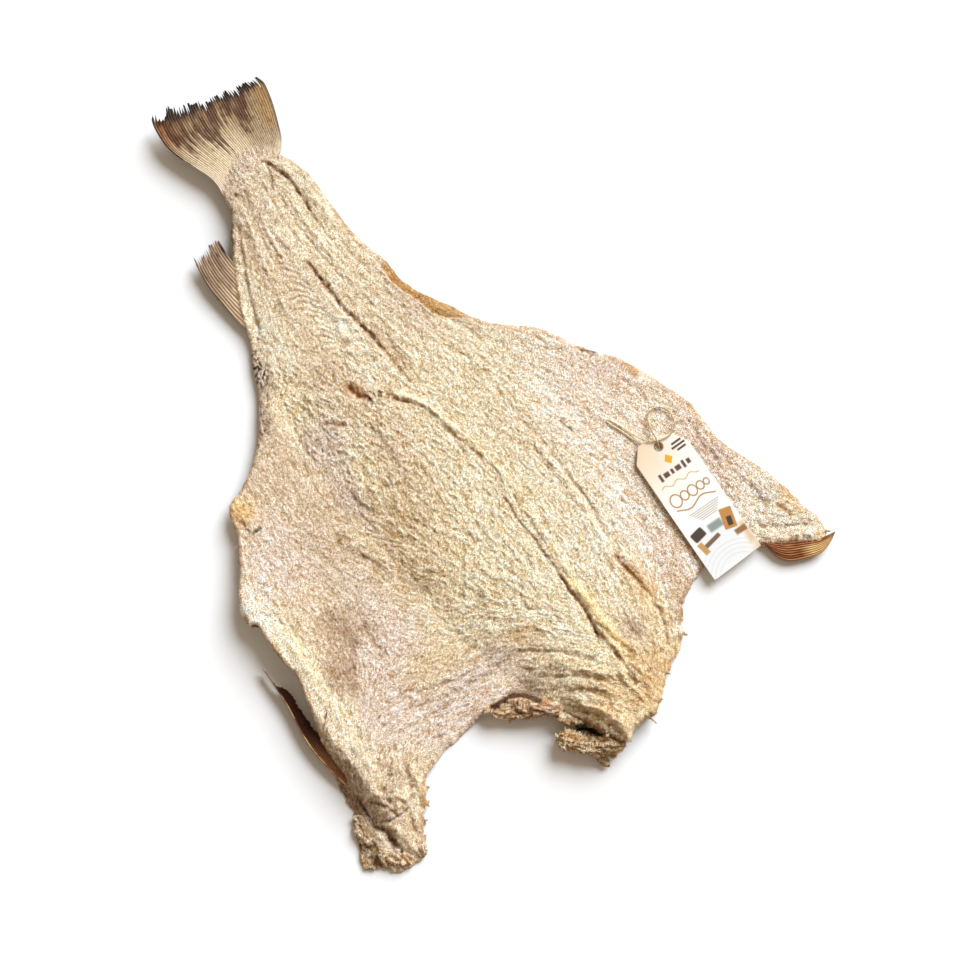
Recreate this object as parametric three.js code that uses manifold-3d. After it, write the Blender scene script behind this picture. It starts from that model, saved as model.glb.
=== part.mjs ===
// A whole cod, split along the belly, opened flat, salted and dried, lying flesh side up.
// A card tag hangs on it by a loop of thin twine.
// Millimetres, +Z up. +Y points to the tail and +X to the right-hand side of the opened fish.
import * as THREE from 'three';
import { mergeVertices } from 'three/addons/utils/BufferGeometryUtils.js';
import Module from 'manifold-3d';

const wasm = await Module();
wasm.setup();

// Driving dimensions.
const BOX_CENTRE = [-7.5, -0.1]; // the middle of the outline's box, in the outline's own coordinates
const WAIST_Y = -150; // above this the rows run straight across, below it they bend to the head end
const TAIL_ROWS = 38;
const HEAD_ROWS = 24;
const COLUMNS = 44;
const RIM_SHARE = 0.62; // how much of the thickness is left at the very edge
const FIN_THICKNESS = 2.6;
const FIN_TIP_THICKNESS = 1.3;
const RAY_RISE = 0.35;
const ROLL_ROUGHNESS = 0.17;
const TAG_THICKNESS = 0.9;
const TAG_HOLE_RADIUS = 3.4;
const TWINE_DIAMETER = 1.4;
const TWINE_SIDES = 8;
const TWINE_STEPS = 76;
const SMOOTHING = 0.06; // how far a face may move when small faces are joined
const SHORTEST_EDGE = 0.12; // edges shorter than this, left by joins, are closed up
const FLATTEST_FACE = 0.02; // faces less high than this, left by joins, are turned

// The left and right edges of the opened body: y, then x. They run from the tail to the wing tips.
const LEFT_EDGE = [
  [282, -69], [270, -69], [258, -72], [246, -80], [233, -86], [220, -93], [204, -100], [183, -109],
  [163, -115], [146, -118], [130, -125], [115, -131], [98, -137], [79, -147], [58, -160], [38, -178],
  [23, -198], [15, -216], [2, -222], [-14, -224], [-28, -231], [-50, -242], [-67, -253], [-84, -260],
  [-95, -258], [-100, -250], [-120, -250], [-142, -248], [-160, -243], [-180, -246], [-200, -250],
  [-220, -254], [-240, -260], [-270, -262], [-300, -263], [-335, -262], [-366, -261],
];
const RIGHT_EDGE = [
  [289, 0], [279, 6], [268, 11], [254, 15], [238, 17], [218, 19], [196, 21], [178, 25], [163, 30],
  [150, 35], [138, 37], [128, 38], [113, 43], [100, 50], [88, 58], [74, 68], [58, 78], [43, 90],
  [31, 104], [21, 120], [10, 131], [-3, 141], [-20, 151], [-34, 163], [-50, 178], [-66, 188],
  [-80, 196], [-96, 203], [-112, 211], [-130, 217], [-150, 219], [-170, 222], [-190, 229],
  [-212, 240], [-230, 247], [-250, 252], [-268, 256], [-283, 262], [-301, 263],
];
// The ragged head end, from the left wing tip past the neck to the right wing tip: x, then y.
const HEAD_EDGE = [
  [-261, -366], [-248, -369], [-236, -369], [-226, -367], [-219, -360], [-217, -351], [-211, -341],
  [-203, -331], [-195, -320], [-187, -306], [-172, -297], [-155, -291], [-138, -288], [-120, -284],
  [-100, -281], [-80, -280], [-70, -284], [-62, -294], [-53, -308], [-44, -321], [-36, -335],
  [-27, -350], [-20, -362], [-12, -371], [-3, -375], [5, -368], [15, -366], [27, -366], [36, -362],
  [48, -350], [62, -338], [76, -329], [87, -321], [94, -314], [99, -304], [106, -294], [116, -284],
  [128, -278], [142, -271], [160, -268], [180, -270], [198, -277], [206, -284], [216, -291],
  [228, -294], [244, -304], [254, -309], [263, -301],
];
const TAIL_ROOT = { left: 282, right: 289, arch: 27 };

// The thick flesh along the back: its middle line, its reach to each side and its height.
const LOIN_MIDDLE = [
  [300, -35], [200, -38], [100, -38], [0, -18], [-100, 10], [-200, 16], [-300, 10], [-370, 0],
];
const LOIN_LEFT = [
  [300, 34], [200, 60], [100, 84], [0, 108], [-100, 122], [-200, 110], [-300, 66], [-370, 36],
];
const LOIN_RIGHT = [
  [300, 34], [200, 56], [100, 80], [0, 112], [-100, 112], [-200, 100], [-300, 78], [-370, 44],
];
const LOIN_HEIGHT = [
  [316, 0.5], [290, 7], [200, 15], [100, 21], [0, 25], [-100, 28], [-200, 31], [-300, 35], [-370, 27],
];
const LOIN_ROUNDNESS = 1.25;
const FLAP_THICKNESS = [[316, 3.6], [280, 6], [100, 6.5], [-200, 6.5], [-300, 8], [-370, 7]];

// The left flap curls up along this crest, and by this much.
const CREST_X = [
  [282, -69], [100, -136], [15, -214], [-60, -248], [-100, -250], [-150, -244], [-200, -243],
  [-250, -238], [-290, -234], [-320, -227], [-366, -222],
];
const CREST_LIFT = [
  [282, 3], [100, 7], [15, 13], [-60, 22], [-110, 27], [-200, 28], [-260, 26], [-300, 20], [-335, 9],
  [-366, 2],
];
const CREST_REACH = 100;
const CREST_FALL = 26;

// Folds, cracks and ridges of the flesh side: lines that rise or sink, with a half width.
const CREASES = [
  { name: 'long groove', rise: -5, width: 4.5, line: [
    [-31, 178], [-29, 150], [-26, 128], [-20, 105], [-15, 80], [-11, 58], [-9, 40],
  ] },
  { name: 'tail crack', rise: -4.5, width: 3.5, line: [
    [-18, 292], [-13, 280], [-10, 268], [-6, 256], [-5, 240], [-3, 222],
  ] },
  { name: 'tail roll', rise: 4, width: 8, line: [[-4, 286], [2, 268], [7, 248], [9, 224], [10, 200]] },
  { name: 'spine row', rise: 3, width: 9, line: [[-38, 270], [-38, 200], [-36, 130], [-36, 60]] },
  { name: 'cut vertebra', rise: 3, width: 7, line: [[-41, 34], [-39, 32]] },
  { name: 'blood pit', rise: -6, width: 6, line: [[-60, 52], [-55, 34]] },
  { name: 'upper spine ridge', rise: 3.2, width: 5, line: [
    [-30, 22], [-18, 10], [-7, -4], [2, -30], [10, -55], [17, -78], [23, -100], [27, -128],
  ] },
  { name: 'lower spine crack', rise: -2, width: 4, line: [
    [11, -105], [12, -140], [16, -180], [18, -212], [20, -245], [21, -275], [26, -300], [29, -328],
  ] },
  { name: 'yellow ridge', rise: 4, width: 6, line: [
    [22, -205], [27, -245], [28, -275], [34, -300], [40, -330],
  ] },
  { name: 'right crack', rise: -2.6, width: 4, line: [
    [62, -10], [68, -55], [72, -85], [78, -118], [80, -160], [79, -200], [75, -222], [80, -242],
    [84, -265], [82, -288], [76, -308],
  ] },
  { name: 'hook crack', rise: -2, width: 3, line: [[-216, 0], [-213, -18], [-202, -21]] },
  { name: 'membrane edge', rise: -2, width: 7, line: [
    [-150, -50], [-135, -85], [-118, -110], [-104, -130], [-90, -162],
  ] },
  { name: 'neck wrinkle 1', rise: -2, width: 4, line: [[-62, -262], [-26, -285], [4, -312], [20, -336]] },
  { name: 'neck wrinkle 2', rise: -2, width: 4, line: [[-46, -284], [-18, -303], [4, -334]] },
  { name: 'wing fold', rise: 3, width: 7, line: [[-226, -314], [-206, -293], [-172, -284], [-140, -281]] },
  { name: 'tip crease', rise: -3, width: 4, line: [[-236, -300], [-247, -322], [-246, -350]] },
];

const clamp = THREE.MathUtils.clamp;
const mix = THREE.MathUtils.lerp;

function ease(from, to, value) {
  const u = clamp((value - from) / (to - from), 0, 1);
  return u * u * (3 - 2 * u);
}

// A smooth line through pairs of key and value, which never swings past a pair.
function through(pairs) {
  const p = pairs[0][0] < pairs[pairs.length - 1][0] ? pairs : [...pairs].reverse();
  const steps = p.slice(1).map(([key, value], i) => (value - p[i][1]) / (key - p[i][0]));
  const slope = (i) => {
    const before = steps[Math.max(i - 1, 0)];
    const after = steps[Math.min(i, steps.length - 1)];
    return before * after <= 0 ? 0 : (2 * before * after) / (before + after);
  };
  return (key) => {
    let i = p.findIndex(([next]) => next > key) - 1;
    if (i < 0) i = key < p[0][0] ? 0 : p.length - 2;
    const width = p[i + 1][0] - p[i][0];
    const u = clamp((key - p[i][0]) / width, 0, 1);
    const rise = p[i + 1][1] - p[i][1];
    const start = slope(i) * width;
    const end = slope(i + 1) * width;
    return p[i][1] + u * (start + u * (3 * rise - 2 * start - end + u * (start + end - 2 * rise)));
  };
}

const leftEdge = through(LEFT_EDGE);
const rightEdge = through(RIGHT_EDGE);
const headEdge = through(HEAD_EDGE);
const loinMiddle = through(LOIN_MIDDLE);
const loinLeft = through(LOIN_LEFT);
const loinRight = through(LOIN_RIGHT);
const loinHeight = through(LOIN_HEIGHT);
const flapThickness = through(FLAP_THICKNESS);
const crestX = through(CREST_X);
const crestLift = through(CREST_LIFT);

function distanceToLine(x, y, line) {
  let nearest = Infinity;
  for (let i = 1; i < line.length; i++) {
    const [ax, ay] = line[i - 1];
    const [dx, dy] = [line[i][0] - ax, line[i][1] - ay];
    const u = clamp(((x - ax) * dx + (y - ay) * dy) / (dx * dx + dy * dy), 0, 1);
    nearest = Math.min(nearest, Math.hypot(x - ax - u * dx, y - ay - u * dy));
  }
  return nearest;
}

// Low crags of the dried flesh, drawn out along the body.
function crags(x, y) {
  const broad = Math.sin(x / 8.1 + 1.9 * Math.sin(y / 29)) * Math.sin(y / 15.3 + 1.4 * Math.sin(x / 21));
  const small = Math.sin(x / 4.7 + 2.1 * Math.sin(y / 17)) * Math.sin(y / 8.9 + 1.1 * Math.sin(x / 13));
  return 1.0 * broad + 0.5 * small;
}

// How high the underside lies: flat on the ground in the middle, raised at the left flap, tail and neck.
function underside(x, y) {
  const inward = x - crestX(y);
  const curl = inward > 0 ? ease(CREST_REACH, 6, inward) ** 1.4 : ease(CREST_FALL, 0, -inward);
  const left = crestLift(y) * curl;
  const tail = 17 * ease(90, 380, y);
  const neck = 9 * ease(-285, -368, y) * ease(110, 40, Math.abs(x - 5));
  const bay = 9 * ease(-235, -282, y) * ease(60, 10, Math.abs(x + 82));
  const right = 8 * ease(150, 262, x) * ease(-120, -270, y);
  const ripple = 1.6 * Math.sin(x / 33 + 0.8) * Math.sin(y / 41 + 0.5);
  return Math.max(0, left + tail + neck + bay + right + ripple - 1.2);
}

function thickness(x, y) {
  const off = x - loinMiddle(y);
  const share = off / (off < 0 ? loinLeft(y) : loinRight(y));
  const loin = loinHeight(y) * Math.max(0, 1 - share * share) ** LOIN_ROUNDNESS;
  let relief = crags(x, y);
  for (const { rise, width, line } of CREASES) {
    relief += rise * Math.exp(-((distanceToLine(x, y, line) / width) ** 2));
  }
  const base = flapThickness(y) + loin;
  return Math.max(0.45 * base, base + relief * ease(1, 9, base));
}

function fleshTop(x, y) {
  return underside(x, y) + thickness(x, y);
}

// A point of the opened body: across runs from the left edge to the right, down from tail to head end.
function bodyPoint(across, down) {
  const root = (t) => mix(TAIL_ROOT.left, TAIL_ROOT.right, t) + TAIL_ROOT.arch * Math.sin(Math.PI * t) ** 0.6;
  const head = (t) => headEdge(mix(HEAD_EDGE[0][0], HEAD_EDGE[HEAD_EDGE.length - 1][0], t));
  const waist = TAIL_ROWS / (TAIL_ROWS + HEAD_ROWS);
  const level = (t) =>
    down < waist ? mix(root(t), WAIST_Y, down / waist) : mix(WAIST_Y, head(t), (down - waist) / (1 - waist));
  return [mix(leftEdge(level(0)), rightEdge(level(1)), across), level(across)];
}

function geometryOf(points, faces) {
  const geometry = new THREE.BufferGeometry();
  geometry.setAttribute('position', new THREE.Float32BufferAttribute(points.flat(), 3));
  geometry.setIndex(faces.flat());
  return geometry;
}

// The body: a fine grid on top, a grid of half as many rows and columns below, and a wall between them.
function bodyGeometry() {
  const rows = TAIL_ROWS + HEAD_ROWS;
  const points = [];
  const faces = [];
  const top = [];
  const bottom = [];
  for (let i = 0; i <= rows; i++) {
    top.push([]);
    for (let j = 0; j <= COLUMNS; j++) {
      const [x, y] = bodyPoint(j / COLUMNS, i / rows);
      const rim = i === 0 || j === 0 || i === rows || j === COLUMNS;
      top[i].push(points.length);
      points.push([x, y, underside(x, y) + thickness(x, y) * (rim ? RIM_SHARE : 1)]);
    }
  }
  for (let i = 0; i <= rows; i += 2) {
    bottom.push([]);
    for (let j = 0; j <= COLUMNS; j += 2) {
      const [x, y] = bodyPoint(j / COLUMNS, i / rows);
      bottom[i / 2].push(points.length);
      points.push([x, y, underside(x, y)]);
    }
  }
  for (let i = 0; i < rows; i++) {
    for (let j = 0; j < COLUMNS; j++) {
      const [a, b, c, d] = [top[i][j], top[i + 1][j], top[i + 1][j + 1], top[i][j + 1]];
      faces.push([a, b, c], [a, c, d]);
    }
  }
  for (let i = 0; i < rows / 2; i++) {
    for (let j = 0; j < COLUMNS / 2; j++) {
      const [a, b, c, d] = [bottom[i][j], bottom[i + 1][j], bottom[i + 1][j + 1], bottom[i][j + 1]];
      faces.push([a, c, b], [a, d, c]);
    }
  }
  const around = (grid) => {
    const [lastRow, lastColumn] = [grid.length - 1, grid[0].length - 1];
    const ring = [];
    for (let i = 0; i < lastRow; i++) ring.push(grid[i][0]);
    for (let j = 0; j < lastColumn; j++) ring.push(grid[lastRow][j]);
    for (let i = lastRow; i > 0; i--) ring.push(grid[i][lastColumn]);
    for (let j = lastColumn; j > 0; j--) ring.push(grid[0][j]);
    return ring;
  };
  const upper = around(top);
  const lower = around(bottom);
  lower.forEach((low, i) => {
    const lowNext = lower[(i + 1) % lower.length];
    const [start, middle, end] = [0, 1, 2].map((k) => upper[(2 * i + k) % upper.length]);
    faces.push([start, low, middle], [middle, low, lowNext], [middle, lowNext, end]);
  });
  return geometryOf(points, faces);
}

// A dried fin: a thin plate of raised rays between two side lines. fray is the share of its last row
// that is worn away between the rays.
function finGeometry({ left, right, tip, rays, rows, fray, height }) {
  const leftLine = new THREE.CatmullRomCurve3(left.map(([x, y]) => new THREE.Vector3(x, y, 0)));
  const rightLine = new THREE.CatmullRomCurve3(right.map(([x, y]) => new THREE.Vector3(x, y, 0)));
  const columns = 2 * rays;
  const points = [];
  const faces = [];
  const grids = [[], []];
  for (let i = 0; i <= rows; i++) {
    grids.forEach((grid) => grid.push([]));
    for (let j = 0; j <= columns; j++) {
      const ray = j % 2;
      const frayed = i === rows && !ray ? fray * (0.6 + 0.4 * Math.sin(j * 2.4)) : 0;
      const out = (i - frayed) / rows;
      const at = leftLine.getPoint(out).lerp(rightLine.getPoint(out), j / columns);
      const y = at.y + tip(j / columns) * out ** 2;
      const half = mix(FIN_THICKNESS, FIN_TIP_THICKNESS, out) / 2;
      const middle = height(at.x, y, out, j / columns);
      grids[0][i].push(points.length);
      points.push([at.x, y, middle + half + RAY_RISE * ray]);
      grids[1][i].push(points.length);
      points.push([at.x, y, middle - half]);
    }
  }
  const [top, bottom] = grids;
  const wall = (a, b, c, d) => faces.push([a, b, c], [a, c, d]);
  for (let i = 0; i < rows; i++) {
    for (let j = 0; j < columns; j++) {
      wall(top[i][j], top[i][j + 1], top[i + 1][j + 1], top[i + 1][j]);
      wall(bottom[i][j], bottom[i + 1][j], bottom[i + 1][j + 1], bottom[i][j + 1]);
    }
    wall(top[i][0], top[i + 1][0], bottom[i + 1][0], bottom[i][0]);
    wall(top[i + 1][columns], top[i][columns], bottom[i][columns], bottom[i + 1][columns]);
  }
  for (let j = 0; j < columns; j++) {
    wall(top[0][j + 1], top[0][j], bottom[0][j], bottom[0][j + 1]);
    wall(top[rows][j], top[rows][j + 1], bottom[rows][j + 1], bottom[rows][j]);
  }
  return geometryOf(points, faces);
}

// A rough roll of torn flesh between two points, as wide and as high as said.
function rollGeometry({ from, to, width, depth }) {
  const ball = new THREE.SphereGeometry(1, 14, 9);
  const start = new THREE.Vector3(...from);
  const end = new THREE.Vector3(...to);
  const axis = end.clone().sub(start);
  ball.rotateZ(Math.PI / 2);
  const place = ball.attributes.position;
  for (let i = 0; i < place.count; i++) {
    const [u, v, w] = [place.getX(i), place.getY(i), place.getZ(i)];
    const rough = 1 + ROLL_ROUGHNESS * Math.sin(5.3 * u + 2.7 * v) * Math.cos(4.1 * w - 3.2 * v);
    const round = (1 - Math.abs(u) ** 3) ** 0.25 / Math.sqrt(Math.max(1 - u * u, 1e-6));
    const fat = Math.abs(u) > 0.9999 ? 0 : Math.min(round, 1.6) * rough;
    place.setXYZ(i, (u * axis.length()) / 2, (v * fat * width) / 2, (w * fat * depth) / 2);
  }
  ball.rotateZ(Math.atan2(axis.y, axis.x));
  const middle = start.add(end).multiplyScalar(0.5);
  return ball.translate(middle.x, middle.y, middle.z);
}

function plateGeometry(outline, bottom, thick) {
  const shape = new THREE.Shape(outline.map(([x, y]) => new THREE.Vector2(x, y)));
  return new THREE.ExtrudeGeometry(shape, { depth: thick, bevelEnabled: false }).translate(0, 0, bottom);
}

function solidOf(geometry) {
  const bare = geometry.clone();
  bare.deleteAttribute('normal');
  bare.deleteAttribute('uv');
  const merged = mergeVertices(bare, 1e-4);
  const vertProperties = Float32Array.from(merged.attributes.position.array);
  const triVerts = Uint32Array.from(merged.index.array);
  return new wasm.Manifold(new wasm.Mesh({ numProp: 3, vertProperties, triVerts }));
}

// The solid's surface without the needle triangles that joins leave: points with a short edge between
// them become one, two faces back to back go, and a flat triangle's long edge turns to the other diagonal.
function tidyGeometry(solid) {
  const { vertProperties, triVerts } = solid.asOriginal().simplify(SMOOTHING).getMesh();
  const points = [];
  for (let i = 0; i < vertProperties.length; i += 3) {
    points.push(new THREE.Vector3().fromArray(vertProperties, i));
  }
  const merged = points.map((_, i) => i);
  const keeper = (i) => {
    while (merged[i] !== i) i = merged[i];
    return i;
  };
  let faces = [];
  for (let i = 0; i < triVerts.length; i += 3) faces.push([...triVerts.subarray(i, i + 3)]);
  for (const face of faces) {
    for (let k = 0; k < 3; k++) {
      const [a, b] = [keeper(face[k]), keeper(face[(k + 1) % 3])];
      if (a !== b && points[a].distanceTo(points[b]) < SHORTEST_EDGE) merged[b] = a;
    }
  }
  faces = faces.map((face) => face.map(keeper)).filter(([a, b, c]) => a !== b && b !== c && c !== a);
  const corners = (face) => [...face].sort((a, b) => a - b).join();
  const uses = new Map();
  for (const face of faces) uses.set(corners(face), (uses.get(corners(face)) ?? 0) + 1);
  faces = faces.filter((face) => uses.get(corners(face)) === 1);
  for (let pass = 0; pass < 4; pass++) turnFlatFaces(points, faces);
  const used = [...new Set(faces.flat())];
  const order = new Map(used.map((old, i) => [old, i]));
  return geometryOf(used.map((i) => points[i].toArray()), faces.map((face) => face.map((i) => order.get(i))));
}

function turnFlatFaces(points, faces) {
  const owner = new Map();
  faces.forEach((face, f) => face.forEach((a, k) => owner.set(`${a},${face[(k + 1) % 3]}`, f)));
  const turned = new Set();
  faces.forEach((face, f) => {
    const length = (k) => points[face[k]].distanceTo(points[face[(k + 1) % 3]]);
    const k = [0, 1, 2].reduce((best, next) => (length(next) > length(best) ? next : best));
    const [p, q, r] = [0, 1, 2].map((step) => face[(k + step) % 3]);
    const height = new THREE.Triangle(points[p], points[q], points[r]).getArea() * 2 / length(k);
    const g = owner.get(`${q},${p}`);
    if (height > FLATTEST_FACE || turned.has(f) || turned.has(g)) return;
    const s = faces[g].find((i) => i !== p && i !== q);
    if (owner.has(`${r},${s}`) || owner.has(`${s},${r}`)) return;
    faces[f] = [p, s, r];
    faces[g] = [s, q, r];
    turned.add(f).add(g);
  });
}

// The fins, each between its own two side lines.
const TAIL_FIN = {
  left: [[-60, 284], [-74, 307], [-84, 330], [-91, 350], [-94, 367], [-87, 388]],
  right: [[-8, 288], [8, 303], [16, 318], [21, 336], [23, 352], [20, 365]],
  tip: (t) => 8 * (t - 1) * t - 4 * ease(0, 0.1, t) * ease(0.9, 0.1, t),
  rays: 26,
  rows: 6,
  fray: 0.4,
  height: (x, y) => underside(x, y) + 2.2,
};
const BELLY_FIN = {
  left: [[-112, 150], [-120, 178], [-125, 206], [-124, 243]],
  right: [[-84, 208], [-90, 222], [-93, 234], [-94, 248]],
  tip: () => 0,
  rays: 8,
  rows: 4,
  fray: 0.25,
  height: (x, y) => underside(Math.max(x, leftEdge(y)), y) + 3,
};
const LEFT_BREAST_FIN = {
  left: [[-258, -292], [-263, -262], [-268, -226], [-269, -190], [-268, -160], [-267.5, -133]],
  right: [[-240, -282], [-248, -250], [-254, -218], [-257, -190], [-258, -164], [-266, -140]],
  tip: () => 0,
  rays: 5,
  rows: 7,
  fray: 0.3,
  height: (x, y, out, across) => mix(9, 11, out) + 8 * across * (1 - out),
};
const RIGHT_BREAST_FIN = {
  left: [[244, -272], [254, -286], [262, -298], [267, -308]],
  right: [[216, -262], [210, -276], [207, -289], [212, -302]],
  tip: (t) => -9 * Math.sin(Math.PI * t),
  rays: 8,
  rows: 4,
  fray: 0.3,
  height: (x, y, out) => underside(x, y) + 2.6 - 3 * out ** 3,
};
const LEFT_TIP_FLAP = [
  [-256, -292], [-266, -310], [-273, -323], [-281, -342], [-281, -350], [-269, -355], [-266, -363],
  [-244, -362], [-238, -320],
];
const NECK_ROLLS = [
  { from: [-63, -340, 12], to: [-26, -366, 16], width: 22, depth: 19 },
  { from: [-50, -353, 13], to: [-6, -374, 17], width: 23, depth: 26 },
  { from: [-43, -361, 8], to: [-35, -387, 6], width: 11, depth: 9 },
  { from: [-30, -368, 10], to: [-24, -384, 8], width: 10, depth: 9 },
  { from: [-60, -334, 12], to: [-45, -349, 18], width: 15, depth: 17 },
];
const BAY_ROLLS = [
  { from: [-108, -279, 15], to: [-72, -300, 13], width: 15, depth: 13 },
  { from: [-88, -287, 14], to: [-48, -311, 17], width: 20, depth: 18 },
];
const NECK_HOLLOW = { from: [-43, -332, 34], to: [-22, -360, 34], width: 12, depth: 34 };

// The tag, from its hole: it lies turned by TAG_TURN, just clear of the flesh.
const TAG_OUTLINE = [
  [-28.5, -3.4], [-28.8, -137], [27.2, -134], [27.1, -13.5], [24.4, -6.9], [17, 4.6], [-9, 10.8],
  [-16.8, 11.4],
];
const TAG_CORNER = 1.5;
const TAG_HOLE_AT = [167, -147.8, 10.1];
const TAG_TURN = 2.9;
const TAG_TILT = { alongX: -0.0065, alongY: -0.02 };

// The twine comes out of the flesh, loops over the tag, drops through its hole and goes back to the flesh.
const TWINE_ROUTE = [
  [139.5, -99.5, 7.9], [142.5, -104.5, 8.3], [146.6, -112, 8.4], [150.6, -120.5, 8.5], [153.8, -127.5, 9.2],
  [156.6, -133, 11], [160, -137.6, 12.3], [165, -141, 12.4], [171.7, -143.2, 12.5], [179.8, -143.8, 12.6],
  [187, -141.6, 12], [192, -136, 10.4], [194, -127.5, 8.9], [192, -119.5, 8.7], [186.6, -114.4, 8.8],
  [179.6, -113.2, 8.8], [173.4, -116.4, 8.8], [170.6, -123, 9.4], [169.4, -130, 11.2], [168.8, -136.5, 13.4],
  [168.2, -141.8, 14.1], [167.6, -145, 13], [167.2, -147.7, 10.7], [166.9, -150.3, 8.9], [166.4, -153.2, 8.4],
  [165, -156.6, 8.3], [161.8, -158.3, 8.3], [158.7, -156.8, 8.3], [157.2, -153.2, 8.3], [156.2, -148, 8.3],
  [154.2, -140, 8.3], [151, -131, 8.2], [147, -121.5, 8.1], [142.9, -112.5, 8.1], [139.4, -105.5, 8.2],
  [136.8, -100.5, 7.9],
];

function codMesh() {
  const pieces = [TAIL_FIN, BELLY_FIN, LEFT_BREAST_FIN, RIGHT_BREAST_FIN].map(finGeometry);
  pieces.push(plateGeometry(LEFT_TIP_FLAP, 0.4, 4.2));
  pieces.push(...NECK_ROLLS.map(rollGeometry), ...BAY_ROLLS.map(rollGeometry));
  let solid = solidOf(bodyGeometry());
  for (const piece of pieces) solid = solid.add(solidOf(piece));
  solid = solid.subtract(solidOf(rollGeometry(NECK_HOLLOW)));
  const flesh = new THREE.MeshStandardMaterial({ color: 0xe3cfa4, roughness: 0.85, metalness: 0 });
  const mesh = new THREE.Mesh(tidyGeometry(solid), flesh);
  mesh.name = 'cod';
  return mesh;
}

function tagMesh() {
  const corners = TAG_OUTLINE.map(([x, y]) => new THREE.Vector2(x, y));
  const towards = (from, to) => from.clone().add(to.clone().sub(from).setLength(TAG_CORNER));
  const card = new THREE.Shape();
  corners.forEach((corner, i) => {
    const before = towards(corner, corners.at(i - 1));
    const after = towards(corner, corners[(i + 1) % corners.length]);
    if (i === 0) card.moveTo(before.x, before.y);
    else card.lineTo(before.x, before.y);
    card.quadraticCurveTo(corner.x, corner.y, after.x, after.y);
  });
  card.closePath();
  card.holes.push(new THREE.Path().absarc(0, 0, TAG_HOLE_RADIUS, 0, 2 * Math.PI, true));
  const settings = { depth: TAG_THICKNESS, bevelEnabled: false, curveSegments: 6 };
  const geometry = new THREE.ExtrudeGeometry(card, settings);
  const paper = new THREE.MeshStandardMaterial({ color: 0xf3e4cc, roughness: 0.6, metalness: 0 });
  const mesh = new THREE.Mesh(geometry, paper);
  mesh.position.set(...TAG_HOLE_AT);
  mesh.rotation.set(TAG_TILT.alongX, TAG_TILT.alongY, THREE.MathUtils.degToRad(TAG_TURN), 'ZYX');
  mesh.name = 'tag';
  return mesh;
}

function twineMesh() {
  const path = new THREE.CatmullRomCurve3(TWINE_ROUTE.map((at) => new THREE.Vector3(...at)));
  const section = new THREE.Shape();
  for (let i = 0; i < TWINE_SIDES; i++) {
    const angle = (2 * Math.PI * i) / TWINE_SIDES;
    const [x, y] = [Math.cos(angle), Math.sin(angle)].map((v) => (v * TWINE_DIAMETER) / 2);
    if (i === 0) section.moveTo(x, y);
    else section.lineTo(x, y);
  }
  section.closePath();
  const geometry = new THREE.ExtrudeGeometry(section, { steps: TWINE_STEPS, extrudePath: path });
  const cotton = new THREE.MeshStandardMaterial({ color: 0xa8906a, roughness: 0.9, metalness: 0 });
  const mesh = new THREE.Mesh(geometry, cotton);
  mesh.name = 'twine';
  return mesh;
}

const fish = new THREE.Group();
fish.position.set(-BOX_CENTRE[0], -BOX_CENTRE[1], 0);
fish.add(codMesh(), tagMesh(), twineMesh());

export default fish;
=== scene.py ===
# A whole cod, split along the belly, opened flat, salted and dried, lying flesh side up on a white floor,
# with a card tag on a loop of twine. Shapes are worked out in millimetres in the outline's own coordinates
# (+Y to the tail, +X to the fish's right-hand side, +Z up) and then moved into the model's frame in metres.
import math

import bmesh
import bpy
import numpy as np
from mathutils import Matrix, Vector, noise as blender_noise


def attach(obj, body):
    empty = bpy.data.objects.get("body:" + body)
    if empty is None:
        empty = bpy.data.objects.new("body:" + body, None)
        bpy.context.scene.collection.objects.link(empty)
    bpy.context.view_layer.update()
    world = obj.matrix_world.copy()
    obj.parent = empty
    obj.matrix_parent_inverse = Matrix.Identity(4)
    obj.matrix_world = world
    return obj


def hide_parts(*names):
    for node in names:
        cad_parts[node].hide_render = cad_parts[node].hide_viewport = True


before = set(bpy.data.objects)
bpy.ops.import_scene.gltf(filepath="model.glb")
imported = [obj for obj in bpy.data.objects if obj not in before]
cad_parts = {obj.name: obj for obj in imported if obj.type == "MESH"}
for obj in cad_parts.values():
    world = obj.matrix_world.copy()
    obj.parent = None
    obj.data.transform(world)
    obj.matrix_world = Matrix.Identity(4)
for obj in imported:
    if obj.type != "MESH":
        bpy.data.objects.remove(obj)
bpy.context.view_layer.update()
scene = bpy.context.scene

SHIFT = np.array([7.5, 0.1, 0.0])  # from the outline's own coordinates to the model's frame


def to_model(points):
    return (np.asarray(points, float) + SHIFT) / 1000


# Camera
AZIMUTH = math.radians(31)
ELEVATION = math.radians(82)
TARGET = (10, -88, 15)
DISTANCE = 2.5973
ahead = Vector((math.sin(AZIMUTH), math.cos(AZIMUTH), 0))
right = Vector((math.cos(AZIMUTH), -math.sin(AZIMUTH), 0))
back = -ahead * math.cos(ELEVATION) + Vector((0, 0, math.sin(ELEVATION)))
up = ahead * math.sin(ELEVATION) + Vector((0, 0, math.cos(ELEVATION)))
eye = Vector(to_model(TARGET)) + back * DISTANCE
lens = bpy.data.cameras.new("camera")
lens.lens = 100
lens.sensor_width = 36
lens.clip_start = 0.1
lens.clip_end = 20
camera = bpy.data.objects.new("camera", lens)
camera.matrix_world = Matrix((
    (right.x, up.x, back.x, eye.x),
    (right.y, up.y, back.y, eye.y),
    (right.z, up.z, back.z, eye.z),
    (0, 0, 0, 1),
))
scene.collection.objects.link(camera)
scene.camera = camera


# Node materials
def linear(colour):
    c = np.asarray(colour, float) / 255
    return np.where(c <= 0.04045, c / 12.92, ((c + 0.055) / 1.055) ** 2.4)


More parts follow.
